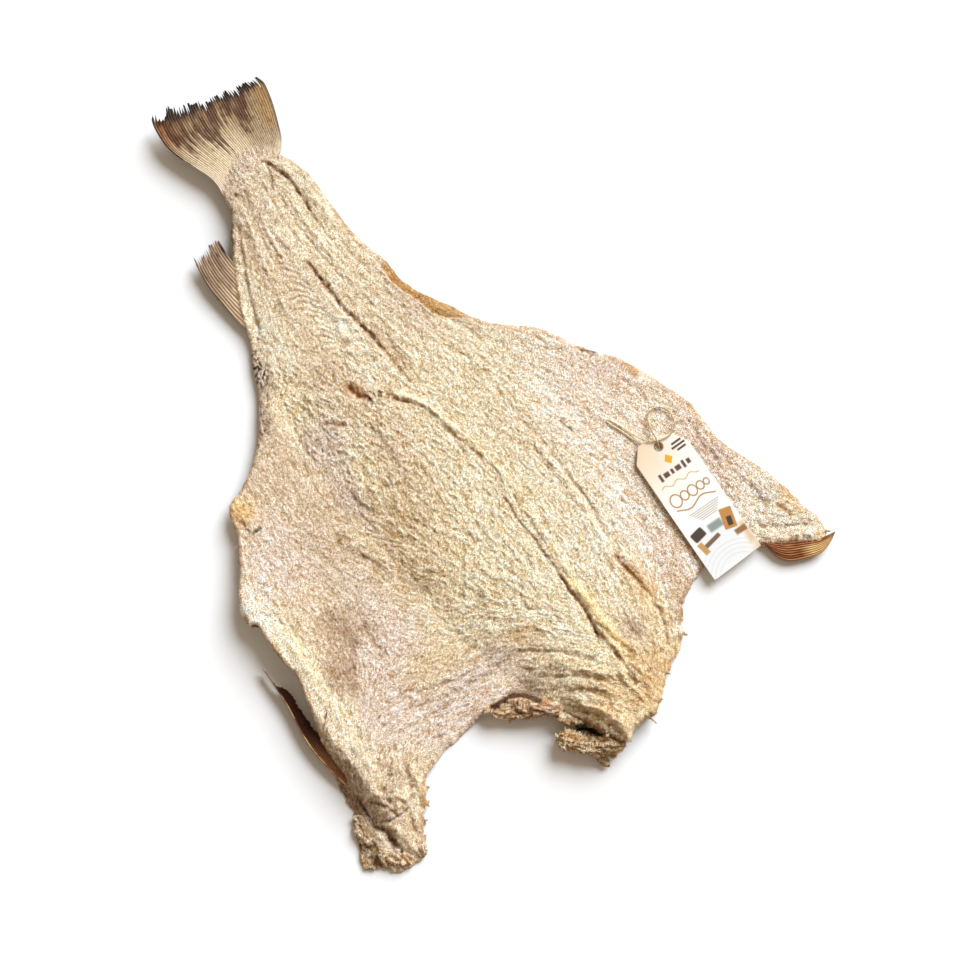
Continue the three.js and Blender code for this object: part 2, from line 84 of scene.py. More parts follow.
class Shader:
    """A material of nodes around one Principled shader."""

    def __init__(self, name, roughness=0.7, specular=0.3):
        self.material = bpy.data.materials.new(name)
        self.material.use_nodes = True
        self.nodes = self.material.node_tree.nodes
        self.links = self.material.node_tree.links
        self.main = self.nodes["Principled BSDF"]
        self.main.inputs["Roughness"].default_value = roughness
        self.main.inputs["Specular IOR Level"].default_value = specular
        self.place = self.add("ShaderNodeTexCoord").outputs["Object"]

    def add(self, kind, **settings):
        node = self.nodes.new(kind)
        for key, value in settings.items():
            setattr(node, key, value)
        return node

    def link(self, source, target):
        self.links.new(source, target)

    def noise(self, per_metre, detail=4, rough=0.6, stretch=None, distortion=0.0):
        vector = self.place
        if stretch:
            mapping = self.add("ShaderNodeMapping")
            mapping.inputs["Scale"].default_value = stretch
            self.link(vector, mapping.inputs["Vector"])
            vector = mapping.outputs["Vector"]
        node = self.add("ShaderNodeTexNoise")
        node.inputs["Scale"].default_value = per_metre
        node.inputs["Detail"].default_value = detail
        node.inputs["Roughness"].default_value = rough
        node.inputs["Distortion"].default_value = distortion
        self.link(vector, node.inputs["Vector"])
        return node.outputs["Fac"]

    def ramp(self, source, stops):
        node = self.add("ShaderNodeValToRGB")
        elements = node.color_ramp.elements
        while len(elements) < len(stops):
            elements.new(0.5)
        for element, (at, value) in zip(elements, stops):
            element.position = at
            element.color = (*value, 1) if isinstance(value, (tuple, list)) else (value, value, value, 1)
        self.link(source, node.inputs["Fac"])
        return node.outputs["Color"]

    def blend(self, mode, amount, first, second):
        node = self.add("ShaderNodeMix", data_type="RGBA", blend_type=mode)
        for socket, value in ((node.inputs[0], amount), (node.inputs[6], first), (node.inputs[7], second)):
            if isinstance(value, bpy.types.NodeSocket):
                self.link(value, socket)
            elif isinstance(value, (tuple, list)):
                socket.default_value = (*value, 1)
            else:
                socket.default_value = value
        return node.outputs[2]

    def sum(self, *parts):
        """Adds (source, factor) pairs."""
        total = None
        for source, factor in parts:
            scaled = self.add("ShaderNodeMath", operation="MULTIPLY_ADD")
            self.link(source, scaled.inputs[0])
            scaled.inputs[1].default_value = factor
            if total is None:
                scaled.inputs[2].default_value = 0
            else:
                self.link(total, scaled.inputs[2])
            total = scaled.outputs[0]
        return total

    def paint(self):
        return self.add("ShaderNodeAttribute", attribute_name="paint").outputs["Color"]

    def bump(self, height, millimetres, strength=1.0):
        node = self.add("ShaderNodeBump")
        node.inputs["Distance"].default_value = millimetres / 1000
        node.inputs["Strength"].default_value = strength
        self.link(height, node.inputs["Height"])
        self.link(node.outputs["Normal"], self.main.inputs["Normal"])

    def finish(self, colour, roughness=None):
        self.link(colour, self.main.inputs["Base Color"])
        if roughness is not None:
            self.link(roughness, self.main.inputs["Roughness"])
        return self.material


def flesh_material():
    """Dried muscle: wriggling ridges with narrow creases and a fine grain over them; the creases and slits
    are painted dark as shade, with painted highlights along their sides.
    """
    s = Shader("dried_flesh", specular=0.22)
    wrinkles = s.noise(350, detail=2, rough=0.5, distortion=1.8)
    crinkles = s.noise(640, detail=2, rough=0.55, distortion=1.2)
    grain = s.noise(930, detail=2, rough=0.6)
    spread_of = s.noise(42, detail=3, rough=0.6)
    crease_shade, shaded_slit, plain = (0.54, 0.40, 0.27), (0.42, 0.30, 0.19), (0.98, 0.98, 0.97)
    # Painted shading: dark in the creases, where the bump sinks, with painted highlights along their sides.
    painted_crease_shading = s.ramp(wrinkles, [
        (0.30, plain), (0.40, (1.12, 1.13, 1.15)), (0.46, (1.0, 0.99, 0.97)), (0.488, crease_shade),
        (0.512, crease_shade), (0.54, (1.0, 0.99, 0.97)), (0.60, (1.13, 1.14, 1.16)), (0.70, plain)])
    # Painted shade in the slits, with painted highlights beside them.
    painted_thread_shading = s.ramp(crinkles, [
        (0.38, (1.12, 1.13, 1.15)), (0.455, (1.0, 0.99, 0.98)), (0.49, shaded_slit),
        (0.51, shaded_slit), (0.545, (1.0, 0.99, 0.98)), (0.62, (1.14, 1.15, 1.18))])
    specks = s.ramp(grain, [
        (0.34, (0.24, 0.14, 0.07)), (0.43, (0.82, 0.75, 0.66)),
        (0.52, (1.13, 1.13, 1.15)), (0.62, (1.33, 1.35, 1.42))])
    amount = s.ramp(spread_of, [(0.35, 0.5), (0.62, 1.0)])
    colour = s.blend("MULTIPLY", amount, s.paint(), painted_crease_shading)
    colour = s.blend("MULTIPLY", 0.95, colour, painted_thread_shading)
    colour = s.blend("MULTIPLY", 0.60, colour, specks)
    ridge = s.ramp(wrinkles, [(0.30, 0.7), (0.43, 1.0), (0.5, 0.0), (0.57, 1.0), (0.70, 0.7)])
    thread = s.ramp(crinkles, [(0.38, 0.9), (0.47, 0.7), (0.5, 0.2), (0.53, 0.7), (0.62, 0.9)])
    s.bump(s.sum((ridge, 0.35), (thread, 0.4), (grain, 0.9)), 1.2, 0.9)
    return s.finish(colour, s.ramp(wrinkles, [(0.3, 0.62), (0.7, 0.9)]))


def skin_material():
    s = Shader("dried_skin", specular=0.35)
    scales = s.add("ShaderNodeTexVoronoi")
    scales.inputs["Scale"].default_value = 420
    s.link(s.place, scales.inputs["Vector"])
    mottle = s.noise(70, detail=5, rough=0.7)
    tone = s.ramp(mottle, [(0.35, 0.72), (0.6, 1.08)])
    colour = s.blend("MULTIPLY", 0.7, s.paint(), tone)
    s.bump(s.sum((scales.outputs["Distance"], 0.5), (mottle, 1.0)), 0.8, 0.8)
    return s.finish(colour, s.ramp(mottle, [(0.3, 0.45), (0.7, 0.75)]))


def grained_material(name, specular, grain, tone, amount, bump, roughness):
    """The piece's paint under one even grain, which also roughens it."""
    s = Shader(name, specular=specular)
    height = s.noise(**grain)
    stops = lambda values: list(zip((0.3, 0.7), values))
    colour = s.blend("MULTIPLY", amount, s.paint(), s.ramp(height, stops(tone)))
    s.bump(height, *bump)
    return s.finish(colour, s.ramp(height, stops(roughness)))


def ease(start, end, value):
    u = np.clip((value - start) / (end - start), 0, 1)
    return u * u * (3 - 2 * u)


def mix(a, b, u):
    return a + (b - a) * u


def hump(distance, reach):
    """1 at no distance, and falling off to nothing over a reach or two."""
    return np.exp(-(distance / reach) ** 2)


def toned(colour, amount, channels):
    """The colour made lighter or darker by an amount at each point, by so much in red, green and blue."""
    return colour * np.exp(amount[..., None] * np.array(channels))


def over(colour, tint, share):
    """The colour with a tint laid over it by a share at each point."""
    return mix(colour, linear(tint), share[..., None])


# Pieces
def piece(name, points, faces, paint, material, node, normals=None):
    """A mesh piece from points in outline millimetres, with a colour at each point."""
    mesh = bpy.data.meshes.new(name)
    faces = np.asarray(faces)
    mesh.vertices.add(len(points))
    mesh.vertices.foreach_set("co", to_model(points).astype(np.float32).ravel())
    mesh.loops.add(faces.size)
    mesh.loops.foreach_set("vertex_index", faces.astype(np.int32).ravel())
    mesh.polygons.add(len(faces))
    mesh.polygons.foreach_set("loop_start", np.arange(0, faces.size, faces.shape[1], dtype=np.int32))
    mesh.update(calc_edges=True)
    mesh.validate()
    colours = mesh.color_attributes.new("paint", "FLOAT_COLOR", "POINT")
    rgba = np.ones((len(points), 4), np.float32)
    rgba[:, :3] = np.clip(paint, 0, 1)
    colours.data.foreach_set("color", rgba.ravel())
    mesh.polygons.foreach_set("use_smooth", np.ones(len(mesh.polygons), bool))
    if normals is not None:
        mesh.normals_split_custom_set_from_vertices(normals.astype(np.float32))
    mesh.materials.append(material)
    made = bpy.data.objects.new(name, mesh)
    scene.collection.objects.link(made)
    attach(made, "root")
    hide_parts(node)
    return made


# Meshes on a grid
def cells_where(inside):
    """The grid cells with all four corners inside, and the points on the rim of those cells."""
    cells = inside[:-1, :-1] & inside[1:, :-1] & inside[:-1, 1:] & inside[1:, 1:]
    count = np.zeros(inside.shape, int)
    for rows in (slice(None, -1), slice(1, None)):
        for cols in (slice(None, -1), slice(1, None)):
            count[rows, cols] += cells
    return cells, (count > 0) & (count < 4)


def quads(cells):
    """The point numbers round each cell."""
    i, j = np.nonzero(cells)
    first = i * (cells.shape[1] + 1) + j
    below = first + cells.shape[1] + 1
    return np.stack([first, first + 1, below + 1, below], 1)


def open_edges(cells):
    """The edges between a cell and none, as pairs of point numbers."""
    i, j = np.nonzero(cells)
    padded = np.pad(cells, 1)
    width = cells.shape[1] + 1
    edges = []
    for (di, dj), start, end in (((-1, 0), (0, 0), (0, 1)), ((0, 1), (0, 1), (1, 1)),
                                 ((1, 0), (1, 1), (1, 0)), ((0, -1), (1, 0), (0, 0))):
        lone = ~padded[i + 1 + di, j + 1 + dj]
        edges.append(np.stack([(i[lone] + at[0]) * width + j[lone] + at[1] for at in (start, end)], 1))
    return np.vstack(edges)


# Twine
TWINE_DIAMETER = 1.4
TWINE_SIDES = 15
TWINE_STRANDS = 3
TWINE_STEP = 0.55
TWINE_TWIST = 0.22  # turn of the strands from one ring to the next
TWINE_ROUTE = [
    [139.5, -99.5, 7.9], [142.5, -104.5, 8.3], [146.6, -112, 8.4], [150.6, -120.5, 8.5],
    [153.8, -127.5, 9.2], [156.6, -133, 11], [160, -137.6, 12.3], [165, -141, 12.4],
    [171.7, -143.2, 12.5], [179.8, -143.8, 12.6], [187, -141.6, 12], [192, -136, 10.4],
    [194, -127.5, 8.9], [192, -119.5, 8.7], [186.6, -114.4, 8.8], [179.6, -113.2, 8.8],
    [173.4, -116.4, 8.8], [170.6, -123, 9.4], [169.4, -130, 11.2], [168.8, -136.5, 13.4],
    [168.2, -141.8, 14.1], [167.6, -145, 13], [167.2, -147.7, 10.7], [166.9, -150.3, 8.9],
    [166.4, -153.2, 8.4], [165, -156.6, 8.3], [161.8, -158.3, 8.3], [158.7, -156.8, 8.3],
    [157.2, -153.2, 8.3], [156.2, -148, 8.3], [154.2, -140, 8.3], [151, -131, 8.2],
    [147, -121.5, 8.1], [142.9, -112.5, 8.1], [139.4, -105.5, 8.2], [136.8, -100.5, 7.9],
]


def unit_length(vectors):
    return vectors / np.linalg.norm(vectors, axis=-1)[..., None]


def lengths_along(line):
    """How far along a line each of its points lies."""
    return np.concatenate([[0], np.cumsum(np.linalg.norm(np.diff(line, axis=0), axis=1))])


def places_on(line, along, at):
    """The places on a line at given lengths along it."""
    return np.stack([np.interp(at, along, line[:, k]) for k in range(line.shape[1])], axis=-1)


def tube(rings, sides, first=0):
    """The triangles between rings of points."""
    faces = []
    for i in range(rings):
        for k in range(sides):
            a, b = first + i * sides + k, first + i * sides + (k + 1) % sides
            faces += [[a, b, b + sides], [a, b + sides, a + sides]]
    return faces


def smooth_line(points, spacing):
    """Points at even spacing on a centripetal Catmull-Rom curve."""
    p = np.asarray(points, float)
    p = np.vstack([2 * p[0] - p[1], p, 2 * p[-1] - p[-2]])
    knots = np.concatenate([[0], np.cumsum(np.sqrt(np.linalg.norm(np.diff(p, axis=0), axis=1)))])
    fine = []
    for i in range(1, len(p) - 2):
        t = np.linspace(knots[i], knots[i + 1], 40, endpoint=i == len(p) - 3)[:, None]
        t0, t1, t2, t3 = knots[i - 1:i + 3]
        a1 = (t1 - t) / (t1 - t0) * p[i - 1] + (t - t0) / (t1 - t0) * p[i]
        a2 = (t2 - t) / (t2 - t1) * p[i] + (t - t1) / (t2 - t1) * p[i + 1]
        a3 = (t3 - t) / (t3 - t2) * p[i + 1] + (t - t2) / (t3 - t2) * p[i + 2]
        b1 = (t2 - t) / (t2 - t0) * a1 + (t - t0) / (t2 - t0) * a2
        b2 = (t3 - t) / (t3 - t1) * a2 + (t - t1) / (t3 - t1) * a3
        fine.append((t2 - t) / (t2 - t1) * b1 + (t - t1) / (t2 - t1) * b2)
    fine = np.vstack(fine)
    along = lengths_along(fine)
    count = max(2, int(round(along[-1] / spacing)) + 1)
    return places_on(fine, along, np.linspace(0, along[-1], count))


def make_twine():
    line = smooth_line(TWINE_ROUTE, TWINE_STEP)
    length = np.linalg.norm(np.diff(line, axis=0), axis=1).sum()
    tangent = unit_length(np.gradient(line, axis=0))
    sides = TWINE_SIDES
    side = np.array([1.0, 0, 0])
    rings, tints = [], []
    for i, (centre, along) in enumerate(zip(line, tangent)):
        side = side - along * side.dot(along)
        side /= np.linalg.norm(side)
        other = np.cross(along, side)
        angle = np.arange(sides) * 2 * np.pi / sides
        lay = TWINE_STRANDS * (angle - i * TWINE_TWIST)
        radius = TWINE_DIAMETER / 2 * (0.86 + 0.14 * np.cos(lay))
        round_it = np.cos(angle)[:, None] * side + np.sin(angle)[:, None] * other
        rings.append(centre + radius[:, None] * round_it)
        # Painted shading: each strand is lighter on its crown and darker in the grooves between the strands.
        shade = 0.80 + 0.20 * np.cos(lay)
        end = max(ease(0.22, 0.10, i / len(line)), ease(0.80, 0.92, i / len(line)))
        tints.append(shade[:, None] * mix(linear([198, 172, 124]), linear([244, 228, 190]), end))
    points = np.vstack(rings + [line[:1], line[-1:]])
    paint = np.vstack(tints + [[linear([206, 184, 146])] * 2])
    faces = tube(len(line) - 1, sides)
    start, end, last = len(points) - 2, len(points) - 1, (len(line) - 1) * sides
    for k in range(sides):
        faces += [[start, (k + 1) % sides, k], [end, last + k, last + (k + 1) % sides]]
    cotton = grained_material(
        "spun_cotton", specular=0.15, grain={"per_metre": 2600, "detail": 3}, tone=(0.82, 1.15),
        amount=0.9, bump=(0.25, 0.8), roughness=(0.8, 0.98))
    made = piece("twine_cord", points, faces, paint, cotton, "twine")
    path = [tuple(p) for p in to_model(smooth_line(TWINE_ROUTE, 2.0))]
    return line


twine_line = make_twine()


# The fish's large shape, the same as the solid's
LEFT_EDGE = [
    [282, -69], [270, -69], [258, -72], [246, -80], [233, -86], [220, -93], [204, -100], [183, -109],
    [163, -115], [146, -118], [130, -125], [115, -131], [98, -137], [79, -147], [58, -160], [38, -178],
    [23, -198], [15, -216], [2, -222], [-14, -224], [-28, -231], [-50, -242], [-67, -253], [-84, -260],
    [-95, -258], [-100, -250], [-120, -250], [-142, -248], [-160, -243], [-180, -246], [-200, -250],
    [-220, -254], [-240, -260], [-270, -262], [-300, -263], [-335, -262], [-366, -261],
]
RIGHT_EDGE = [
    [289, 0], [279, 6], [268, 11], [254, 15], [238, 17], [218, 19], [196, 21], [178, 25], [163, 30],
    [150, 35], [138, 37], [128, 38], [113, 43], [100, 50], [88, 58], [74, 68], [58, 78], [43, 90],
    [31, 104], [21, 120], [10, 131], [-3, 141], [-20, 151], [-34, 163], [-50, 178], [-66, 188],
    [-80, 196], [-96, 203], [-112, 211], [-130, 217], [-150, 219], [-170, 222], [-190, 229],
    [-212, 240], [-230, 247], [-250, 252], [-268, 256], [-283, 262], [-301, 263],
]
HEAD_EDGE = [
    [-261, -366], [-248, -369], [-236, -369], [-226, -367], [-219, -360], [-217, -351], [-211, -341],
    [-203, -331], [-195, -320], [-187, -306], [-172, -297], [-155, -291], [-138, -288], [-120, -284],
    [-100, -281], [-80, -280], [-70, -284], [-62, -294], [-53, -308], [-44, -321], [-36, -335],
    [-27, -350], [-20, -362], [-12, -371], [-3, -375], [5, -368], [15, -366], [27, -366], [36, -362],
    [48, -350], [62, -338], [76, -329], [87, -321], [94, -314], [99, -304], [106, -294], [116, -284],
    [128, -278], [142, -271], [160, -268], [180, -270], [198, -277], [206, -284], [216, -291],
    [228, -294], [244, -304], [254, -309], [263, -301],
]
TAIL_ROOT = {"left": 282, "right": 289, "arch": 27}
LOIN_MIDDLE = [
    [300, -35], [200, -38], [100, -38], [0, -18], [-100, 10], [-200, 16], [-300, 10], [-370, 0],
]
LOIN_LEFT = [
    [300, 34], [200, 60], [100, 84], [0, 108], [-100, 122], [-200, 110], [-300, 66], [-370, 36],
]
LOIN_RIGHT = [
    [300, 34], [200, 56], [100, 80], [0, 112], [-100, 112], [-200, 100], [-300, 78], [-370, 44],
]
LOIN_HEIGHT = [
    [316, 0.5], [290, 7], [200, 15], [100, 21], [0, 25], [-100, 28], [-200, 31], [-300, 35], [-370, 27],
]
LOIN_ROUNDNESS = 1.25
FLAP_THICKNESS = [[316, 3.6], [280, 6], [100, 6.5], [-200, 6.5], [-300, 8], [-370, 7]]
CREST_X = [
    [282, -69], [100, -136], [15, -214], [-60, -248], [-100, -250], [-150, -244], [-200, -243],
    [-250, -238], [-290, -234], [-320, -227], [-366, -222],
]
CREST_LIFT = [
    [282, 3], [100, 7], [15, 13], [-60, 22], [-110, 27], [-200, 28], [-260, 26], [-300, 20], [-335, 9],
    [-366, 2],
]
CREST_REACH = 100
CREST_FALL = 26


def through(pairs):
    """A smooth line through pairs of key and value, which never swings past a pair."""
    p = np.array(sorted(pairs), float)
    width = np.diff(p[:, 0])
    slope = np.diff(p[:, 1]) / width
    before = np.concatenate([slope[:1], slope])
    after = np.concatenate([slope, slope[-1:]])
    product = before * after
    with np.errstate(divide="ignore", invalid="ignore"):
        bend = np.where(product > 0, 2 * product / (before + after), 0)

    def value(key):
        key = np.asarray(key, float)
        i = np.clip(np.searchsorted(p[:, 0], key, side="right") - 1, 0, len(p) - 2)
        u = np.clip((key - p[i, 0]) / width[i], 0, 1)
        rise = p[i + 1, 1] - p[i, 1]
        start, end = bend[i] * width[i], bend[i + 1] * width[i]
        return p[i, 1] + u * (start + u * (3 * rise - 2 * start - end + u * (start + end - 2 * rise)))

    return value


left_edge, right_edge, head_edge = through(LEFT_EDGE), through(RIGHT_EDGE), through(HEAD_EDGE)
loin_middle, loin_left, loin_right = through(LOIN_MIDDLE), through(LOIN_LEFT), through(LOIN_RIGHT)
loin_height, flap_thickness = through(LOIN_HEIGHT), through(FLAP_THICKNESS)
crest_x, crest_lift = through(CREST_X), through(CREST_LIFT)


def crags(x, y):
    broad = np.sin(x / 8.1 + 1.9 * np.sin(y / 29)) * np.sin(y / 15.3 + 1.4 * np.sin(x / 21))
    small = np.sin(x / 4.7 + 2.1 * np.sin(y / 17)) * np.sin(y / 8.9 + 1.1 * np.sin(x / 13))
    return broad + 0.5 * small


def underside(x, y):
    inward = x - crest_x(y)
    curl = np.where(inward > 0, ease(CREST_REACH, 6, inward) ** 1.4, ease(CREST_FALL, 0, -inward))
    left = crest_lift(y) * curl
    tail = 17 * ease(90, 380, y)
    neck = 9 * ease(-285, -368, y) * ease(110, 40, np.abs(x - 5))
    bay = 9 * ease(-235, -282, y) * ease(60, 10, np.abs(x + 82))
    wing = 8 * ease(150, 262, x) * ease(-120, -270, y)
    ripple = 1.6 * np.sin(x / 33 + 0.8) * np.sin(y / 41 + 0.5)
    return np.maximum(0, left + tail + neck + bay + wing + ripple - 1.2)


def body_depth(x, y):
    off = x - loin_middle(y)
    share = off / np.where(off < 0, loin_left(y), loin_right(y))
    loin = loin_height(y) * np.maximum(0, 1 - share * share) ** LOIN_ROUNDNESS
    return flap_thickness(y) + loin


# Noise and fibres on a millimetre grid
STEP = 1.0
GRID_X, GRID_Y = (-292, 292), (-396, 400)
xs = np.arange(GRID_X[0], GRID_X[1] + STEP, STEP)
ys = np.arange(GRID_Y[0], GRID_Y[1] + STEP, STEP)
X, Y = np.meshgrid(xs, ys)
chance = np.random.default_rng(7)
ANGLES = chance.uniform(0, 2 * np.pi, (256, 256))
GRADIENT = np.stack([np.cos(ANGLES), np.sin(ANGLES)])


def noise(x, y, cell, seed=0):
    """Smooth noise of about -1 to 1, with bumps about a cell wide."""
    u, v = x / cell + 17.3 * seed, y / cell + 41.7 * seed
    i, j = np.floor(u).astype(int), np.floor(v).astype(int)
    fu, fv = u - i, v - j
    wu, wv = (f * f * f * (f * (f * 6 - 15) + 10) for f in (fu, fv))

    def corner(di, dj):
        a, b = (i + di) & 255, (j + dj) & 255
        return GRADIENT[0, a, b] * (fu - di) + GRADIENT[1, a, b] * (fv - dj)

    return 1.7 * mix(mix(corner(0, 0), corner(1, 0), wu), mix(corner(0, 1), corner(1, 1), wu), wv)


def unit(field):
    return (field - field.mean()) / field.std()


def blur(field, times):
    for _ in range(times):
        for axis in (0, 1):
            field = (np.roll(field, 1, axis) + 2 * field + np.roll(field, -1, axis)) / 4
    return field


def spread(coarse, every):
    """A field known at every few grid points, drawn out to all of them."""
    rows = np.stack([np.interp(xs, xs[::every], line) for line in coarse])
    return np.stack([np.interp(ys, ys[::every], line) for line in rows.T], axis=1)


# Which way the fibres run: x, y and the angle in degrees from +X.
FLOW = [
    (-40, 285, 92), (-75, 240, 68), (-100, 195, 65), (-112, 150, 75), (-90, 165, 78), (-72, 170, 104),
    (-72, 120, 112), (-85, 90, 116), (-100, 60, 116), (-50, 225, 90), (-48, 105, 92), (-12, 200, 100),
    (5, 150, 108), (0, 100, 105), (25, 130, 108), (45, 85, 118), (30, 40, 108), (75, 40, 130),
    (100, 10, 125), (60, 0, 102), (20, 60, 98), (5, 250, 98), (-130, 90, 66), (-150, 50, 62),
    (-178, 22, 60), (-150, 10, 98), (-192, -2, 106), (-130, 0, 106), (-110, -30, 112), (-145, -75, 124),
    (-115, -110, 126), (-100, -155, 122), (-80, -60, 102), (-60, -150, 112), (-200, -60, 108),
    (-235, -60, 62), (-200, -120, 100), (-178, -160, 96), (-205, -180, 70), (-238, -150, 88),
    (-236, -240, 88), (-190, -232, 30), (-150, -235, 176), (-110, -240, 178), (-70, -235, 168),
    (-160, -265, 4), (-200, -270, 36), (-218, -300, 52), (-198, -316, 42), (-120, -270, 0),
    (-60, -265, 152), (-30, -282, 146), (0, -312, 136), (18, -342, 116), (-38, -238, 148),
    (-20, -200, 112), (10, -150, 92), (32, -210, 90), (60, -150, 96), (60, -250, 92), (85, -285, 96),
    (78, -322, 42), (130, -50, 122), (160, -90, 118), (120, -120, 112), (190, -120, 108),
    (207, -180, 102), (120, -200, 100), (125, -255, 64), (215, -240, 108), (238, -282, 142),
    (250, -296, 140), (105, -270, 60), (-230, -335, 84), (-255, -330, 92),
]


FLOW_REACH = 26.0  # how far each of them counts


def flow_field():
    coarse = 8
    cx, cy = np.meshgrid(xs[::coarse], ys[::coarse])
    total = np.zeros((2,) + cx.shape)
    for x, y, angle in FLOW:
        weight = np.exp(-((cx - x) ** 2 + (cy - y) ** 2) / (2 * FLOW_REACH ** 2)) + 1e-9
        double = math.radians(2 * angle)
        total += weight * np.array([math.cos(double), math.sin(double)])[:, None, None]
    angle = 0.5 * np.arctan2(spread(total[1], coarse), spread(total[0], coarse))
    angle = angle + 0.32 * noise(X, Y, 26, 3) + 0.2 * noise(X, Y, 9, 4)
    return np.cos(angle), np.sin(angle)


flow_x, flow_y = flow_field()


def grid_point(x, y):
    """The row and column of the grid point nearest to each place."""
    i = np.clip(np.rint((y - ys[0]) / STEP).astype(np.int32), 0, len(ys) - 1)
    j = np.clip(np.rint((x - xs[0]) / STEP).astype(np.int32), 0, len(xs) - 1)
    return i, j


def steps_along(count, stride):
    """Grid places of points that walk both ways along the fibres."""
    walks = []
    for way in (1, -1):
        px, py = X.copy(), Y.copy()
        dx, dy = way * flow_x, way * flow_y
        for _ in range(count):
            px, py = px + stride * dx, py + stride * dy
            i, j = grid_point(px, py)
            walks.append((i, j))
            nx, ny = flow_x[i, j], flow_y[i, j]
            turn = np.where(nx * dx + ny * dy < 0, -1, 1)
            dx, dy = turn * nx, turn * ny
    return walks


def combed(source, walks, stride, reach):
    half = len(walks) // 2
    total, weights = source.copy(), 1.0
    for k, (i, j) in enumerate(walks):
        weight = math.exp(-((k % half + 1) * stride / reach) ** 2)
        if weight < 0.02:
            continue
        total += weight * source[i, j]
        weights += weight
    return unit(total / weights)


walks = steps_along(16, 1.0)
threads = combed(chance.standard_normal(X.shape), walks, 1.0, 1.8)
short_fibres = combed(blur(chance.standard_normal(X.shape), 1), walks, 1.0, 2.8)
granules = unit(blur(chance.standard_normal(X.shape), 1))
ropes = combed(blur(chance.standard_normal(X.shape), 2), walks, 1.0, 5.5)
strands = combed(noise(X, Y, 6.5, 5), walks, 1.0, 11.0)
lumps = unit(noise(X, Y, 13, 8) + 0.6 * noise(X, Y, 6, 9))
patches = unit(noise(X, Y, 34, 10) + 0.5 * noise(X, Y, 17, 11))


# Outline
def body_outline():
    """The ragged outline of the opened body, point by point, with the corners of its four sides."""
    t = np.linspace(0, 1, 420)
    arch = lambda s: TAIL_ROOT["arch"] * np.sin(np.pi * s) ** 0.6
    root = lambda s: mix(TAIL_ROOT["left"], TAIL_ROOT["right"], s) + arch(s)
    head = lambda s: head_edge(mix(HEAD_EDGE[0][0], HEAD_EDGE[-1][0], s))
    at = lambda s, y: np.stack([mix(left_edge(y), right_edge(y), s), y], axis=1)
    levels = lambda s: mix(root(s), head(s), t)
    sides = [at(0, levels(0)), at(t, head(t)), at(1, levels(1))[::-1], at(t, root(t))[::-1]]
    line = np.vstack([side[:-1] for side in sides])
    closed = np.vstack([line, line[:1]])
    along = lengths_along(closed)
    line = places_on(closed, along, np.arange(0, along[-1], 1.0))
    tangent = unit_length(np.roll(line, -2, 0) - np.roll(line, 2, 0))
    outward = np.stack([tangent[:, 1], -tangent[:, 0]], axis=1)
    x, y = line.T
    torn = ease(-230, -275, y) * ease(150, 110, x) + 0.6 * ease(120, 150, x) * ease(-180, -220, y)
    rag = 0.5 + 0.9 * torn
    wander = rag * (0.9 * noise(x, y, 9, 21) + 0.9 * noise(x, y, 3.5, 22) + 0.6 * noise(x, y, 1.9, 23))
    return line + outward * (wander - 0.3)[:, None]


outline = body_outline()


def nearest_on(line, x, y):
    """For points: the distance to a closed line, the nearest place on it, and whether they lie inside."""
    ax, ay = line.T
    bx, by = np.roll(line, -1, 0).T
    dx, dy = bx - ax, by - ay
    size = np.maximum(dx * dx + dy * dy, 1e-9)
    best = np.full(x.shape, np.inf)
    nearest = np.zeros((2,) + x.shape)
    crossings = np.zeros(x.shape, int)
    for start in range(0, len(x), 4000):
        part = slice(start, start + 4000)
        px, py = x[part, None], y[part, None]
        u = np.clip(((px - ax) * dx + (py - ay) * dy) / size, 0, 1)
        qx, qy = ax + u * dx, ay + u * dy
        square = (px - qx) ** 2 + (py - qy) ** 2
        k = square.argmin(1)
        rows = np.arange(len(k))
        best[part] = np.sqrt(square[rows, k])
        nearest[0, part], nearest[1, part] = qx[rows, k], qy[rows, k]
        spans = (ay > py) != (by > py)
        with np.errstate(divide="ignore", invalid="ignore"):
            meets = ax + (py - ay) / (by - ay) * dx
        crossings[part] = (spans & (px < meets)).sum(1)
    return best, nearest, crossings % 2 == 1


EDGE_BAND = 9  # how far from the outline its distance is worked out point by point


def depth_inside():
    """How far each grid point lies inside the outline, and the nearest place on it close to the edge."""
    coarse = 6
    cx, cy = X[::coarse, ::coarse], Y[::coarse, ::coarse]
    far, _, within = nearest_on(outline[::3], cx.ravel(), cy.ravel())
    signed = np.where(within, far, -far).reshape(cx.shape)
    full = spread(signed, coarse)
    place = np.stack([X, Y])
    band = np.abs(full) < EDGE_BAND
    near, spot, within = nearest_on(outline, X[band], Y[band])
    full[band] = np.where(within, near, -near)
    place[:, band] = spot
    return full, place


inset, edge_place = depth_inside()


sway_x = 1.0 * noise(X, Y, 8, 45) + 0.55 * noise(X, Y, 3.4, 46)
sway_y = 1.0 * noise(X, Y, 8, 47) + 0.55 * noise(X, Y, 3.4, 48)


def line_field(points, reach):
    """For grid points near a drawn line: distance from it, and how far along it, from 0 to 1."""
    p = smooth_line(points, 1.5) if len(points) > 2 else np.asarray(points, float)
    distance = np.full(X.shape, np.inf)
    along = np.zeros(X.shape)
    low, high = p.min(0) - reach, p.max(0) + reach
    rows = slice(*np.searchsorted(ys, (low[1], high[1])))
    cols = slice(*np.searchsorted(xs, (low[0], high[0])))
    gx, gy = X[rows, cols] + sway_x[rows, cols], Y[rows, cols] + sway_y[rows, cols]
    best, where = np.full(gx.shape, np.inf), np.zeros(gx.shape)
    for k in range(len(p) - 1):
        (ax, ay), (dx, dy) = p[k], p[k + 1] - p[k]
        u = np.clip(((gx - ax) * dx + (gy - ay) * dy) / (dx * dx + dy * dy), 0, 1)
        d = np.hypot(gx - ax - u * dx, gy - ay - u * dy)
        closer = d < best
        best, where = np.where(closer, d, best), np.where(closer, (k + u) / (len(p) - 1), where)
    distance[rows, cols], along[rows, cols] = best, where
    return distance, along


